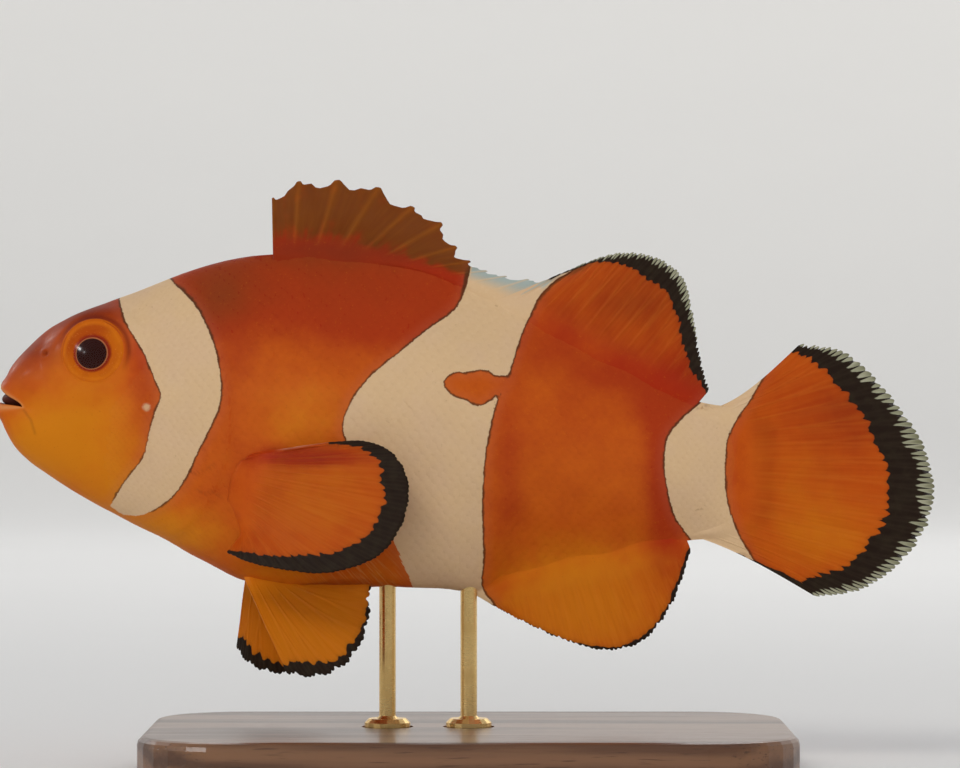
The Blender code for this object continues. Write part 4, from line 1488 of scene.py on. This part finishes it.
def eyes():
    iris, clear = eye_finish(), cornea_finish()
    for name, side in SIDES.items():
        eye_ball(f"eyeball_{name}", side, iris, 96, 72, iris_shape, f"eye_{name}")
        eye_ball(f"cornea_{name}", side, clear, 64, 40, clear_shape)


# --- The stand ---


def dress(node, finish):
    """A CAD piece whose shape is right keeps it and gets its real finish."""
    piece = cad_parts[node]
    piece.data.materials.clear()
    piece.data.materials.append(finish)


def stand():
    dress("stand_base", walnut_finish())
    brass = brass_finish()
    for node in ("stand_rod_front", "stand_rod_rear"):
        dress(node, brass)


# --- Camera, light and floor ---

VIEW_WIDTH = 92.16 * MM
VIEW_CENTRE = (1.08, 5.4)  # behind the middle of the fish, above its axis
VIEW_DISTANCE = 0.42
NEAREST, FARTHEST = 0.01, 20


def camera():
    data = bpy.data.cameras.new("camera")
    data.lens = data.sensor_width * VIEW_DISTANCE / VIEW_WIDTH
    data.clip_start, data.clip_end = NEAREST, FARTHEST
    holder = added("camera", data)
    holder.location = (VIEW_CENTRE[0] * MM, -VIEW_DISTANCE, AXIS_Z + VIEW_CENTRE[1] * MM)
    holder.rotation_euler = (math.pi / 2, 0, 0)
    bpy.context.scene.camera = holder


LAMP_AIM = Vector((0, 0, 0.03))


def lamp(name, place, size, power, lights=True, mirrored=True, spread=math.pi):
    """A soft rectangular lamp that never shows itself. It lights surfaces, is mirrored in them, or both."""
    data = bpy.data.lights.new(name, "AREA")
    data.shape, data.size, data.size_y, data.energy, data.spread = "RECTANGLE", *size, power, spread
    holder = added(name, data)
    holder.location = place
    holder.rotation_euler = (LAMP_AIM - Vector(place)).to_track_quat("-Z", "Y").to_euler()
    holder.visible_camera, holder.visible_diffuse, holder.visible_glossy = False, lights, mirrored


FLOOR_FLAT = 0.75
FLOOR_SIDES = 96
FLOOR_SWEEP = 1.2  # radius of the curve from the floor up to the backdrop
SWEEP_STEPS = 24


def sweep():
    """A paper floor that curves up all round into its own backdrop."""
    circle = {"vertices": FLOOR_SIDES, "radius": FLOOR_FLAT, "fill_type": "NGON"}
    floor = fresh("paper_floor", bpy.ops.mesh.primitive_circle_add, **circle)
    with editing(floor, "EDGE", "SELECT"):
        bpy.ops.mesh.region_to_loop()
        reach, level = FLOOR_FLAT, 0
        for step in range(1, SWEEP_STEPS + 1):
            turn = 0.5 * math.pi * step / SWEEP_STEPS
            wider = FLOOR_FLAT + FLOOR_SWEEP * math.sin(turn)
            higher = FLOOR_SWEEP * (1 - math.cos(turn))
            bpy.ops.mesh.extrude_edges_move(TRANSFORM_OT_translate={"value": (0, 0, higher - level)})
            bpy.ops.transform.resize(value=(wider / reach, wider / reach, 1), center_override=(0, 0, 0))
            reach, level = wider, higher
        bpy.ops.mesh.select_all(action="SELECT")
        bpy.ops.mesh.normals_make_consistent(inside=True)
    floor.data.materials.append(paper_finish())
    bpy.ops.object.shade_smooth()


# Where the lamps stand that are mirrored in each eye, seen from the eye, with their size and power.
SPARKS = {
    "high": ((-0.746, 0.453, 0.489), (0.07, 0.06), 2.4),
    "low": ((-0.623, 0.675, 0.395), (0.055, 0.05), 0.6),
}
SKY = ((0.95, 0.96, 1, 1), 0.4)  # colour and strength
SUN_FROM = (-0.45, -0.95, 0.64)
SUN = {"energy": 1.36, "angle": 0.5, "color": (1, 0.96, 0.89)}


def daylight():
    world = bpy.data.worlds.new("studio")
    world.use_nodes = True
    sky = world.node_tree.nodes["Background"]
    sky.inputs["Color"].default_value, sky.inputs["Strength"].default_value = SKY
    bpy.context.scene.world = world
    data = bpy.data.lights.new("soft_sun", "SUN")
    for name, value in SUN.items():
        setattr(data, name, value)
    sun = added("soft_sun", data)
    sun.rotation_euler = Vector(SUN_FROM).to_track_quat("Z", "Y").to_euler()
    sun.visible_glossy = False
    lamp("fill", (-0.1, -1.05, 0.21), (0.9, 0.32), 0.36, mirrored=False, spread=1.2)
    lamp("rim", (0.15, 0.6, 0.5), (0.6, 0.3), 1.2)
    for name, side in SIDES.items():
        eye = settle((EYE_PLACE[0], side * EYE_OUT, EYE_PLACE[1]))
        for spark, (place, size, power) in SPARKS.items():
            lamp(f"{spark}_spark_{name}", eye + np.multiply(place, (1, side, 1)), size, power, lights=False)
    bpy.context.scene.view_settings.view_transform = "Standard"


# --- Putting it together ---


def fish():
    flesh, web = skin_finish(), fin_finish()
    skin(flesh)
    for name, side in SIDES.items():
        coat(f"scales_{name}", side, flesh)
        fin(f"pectoral_{name}", pectoral(side), web)
        fin(f"pelvic_{name}", pelvic(side), web)
    for name, plan in MEDIAN_FINS.items():
        fin(name, plan, web)
    tongue(flesh)
    eyes()


camera()
fish()
stand()
sweep()
daylight()
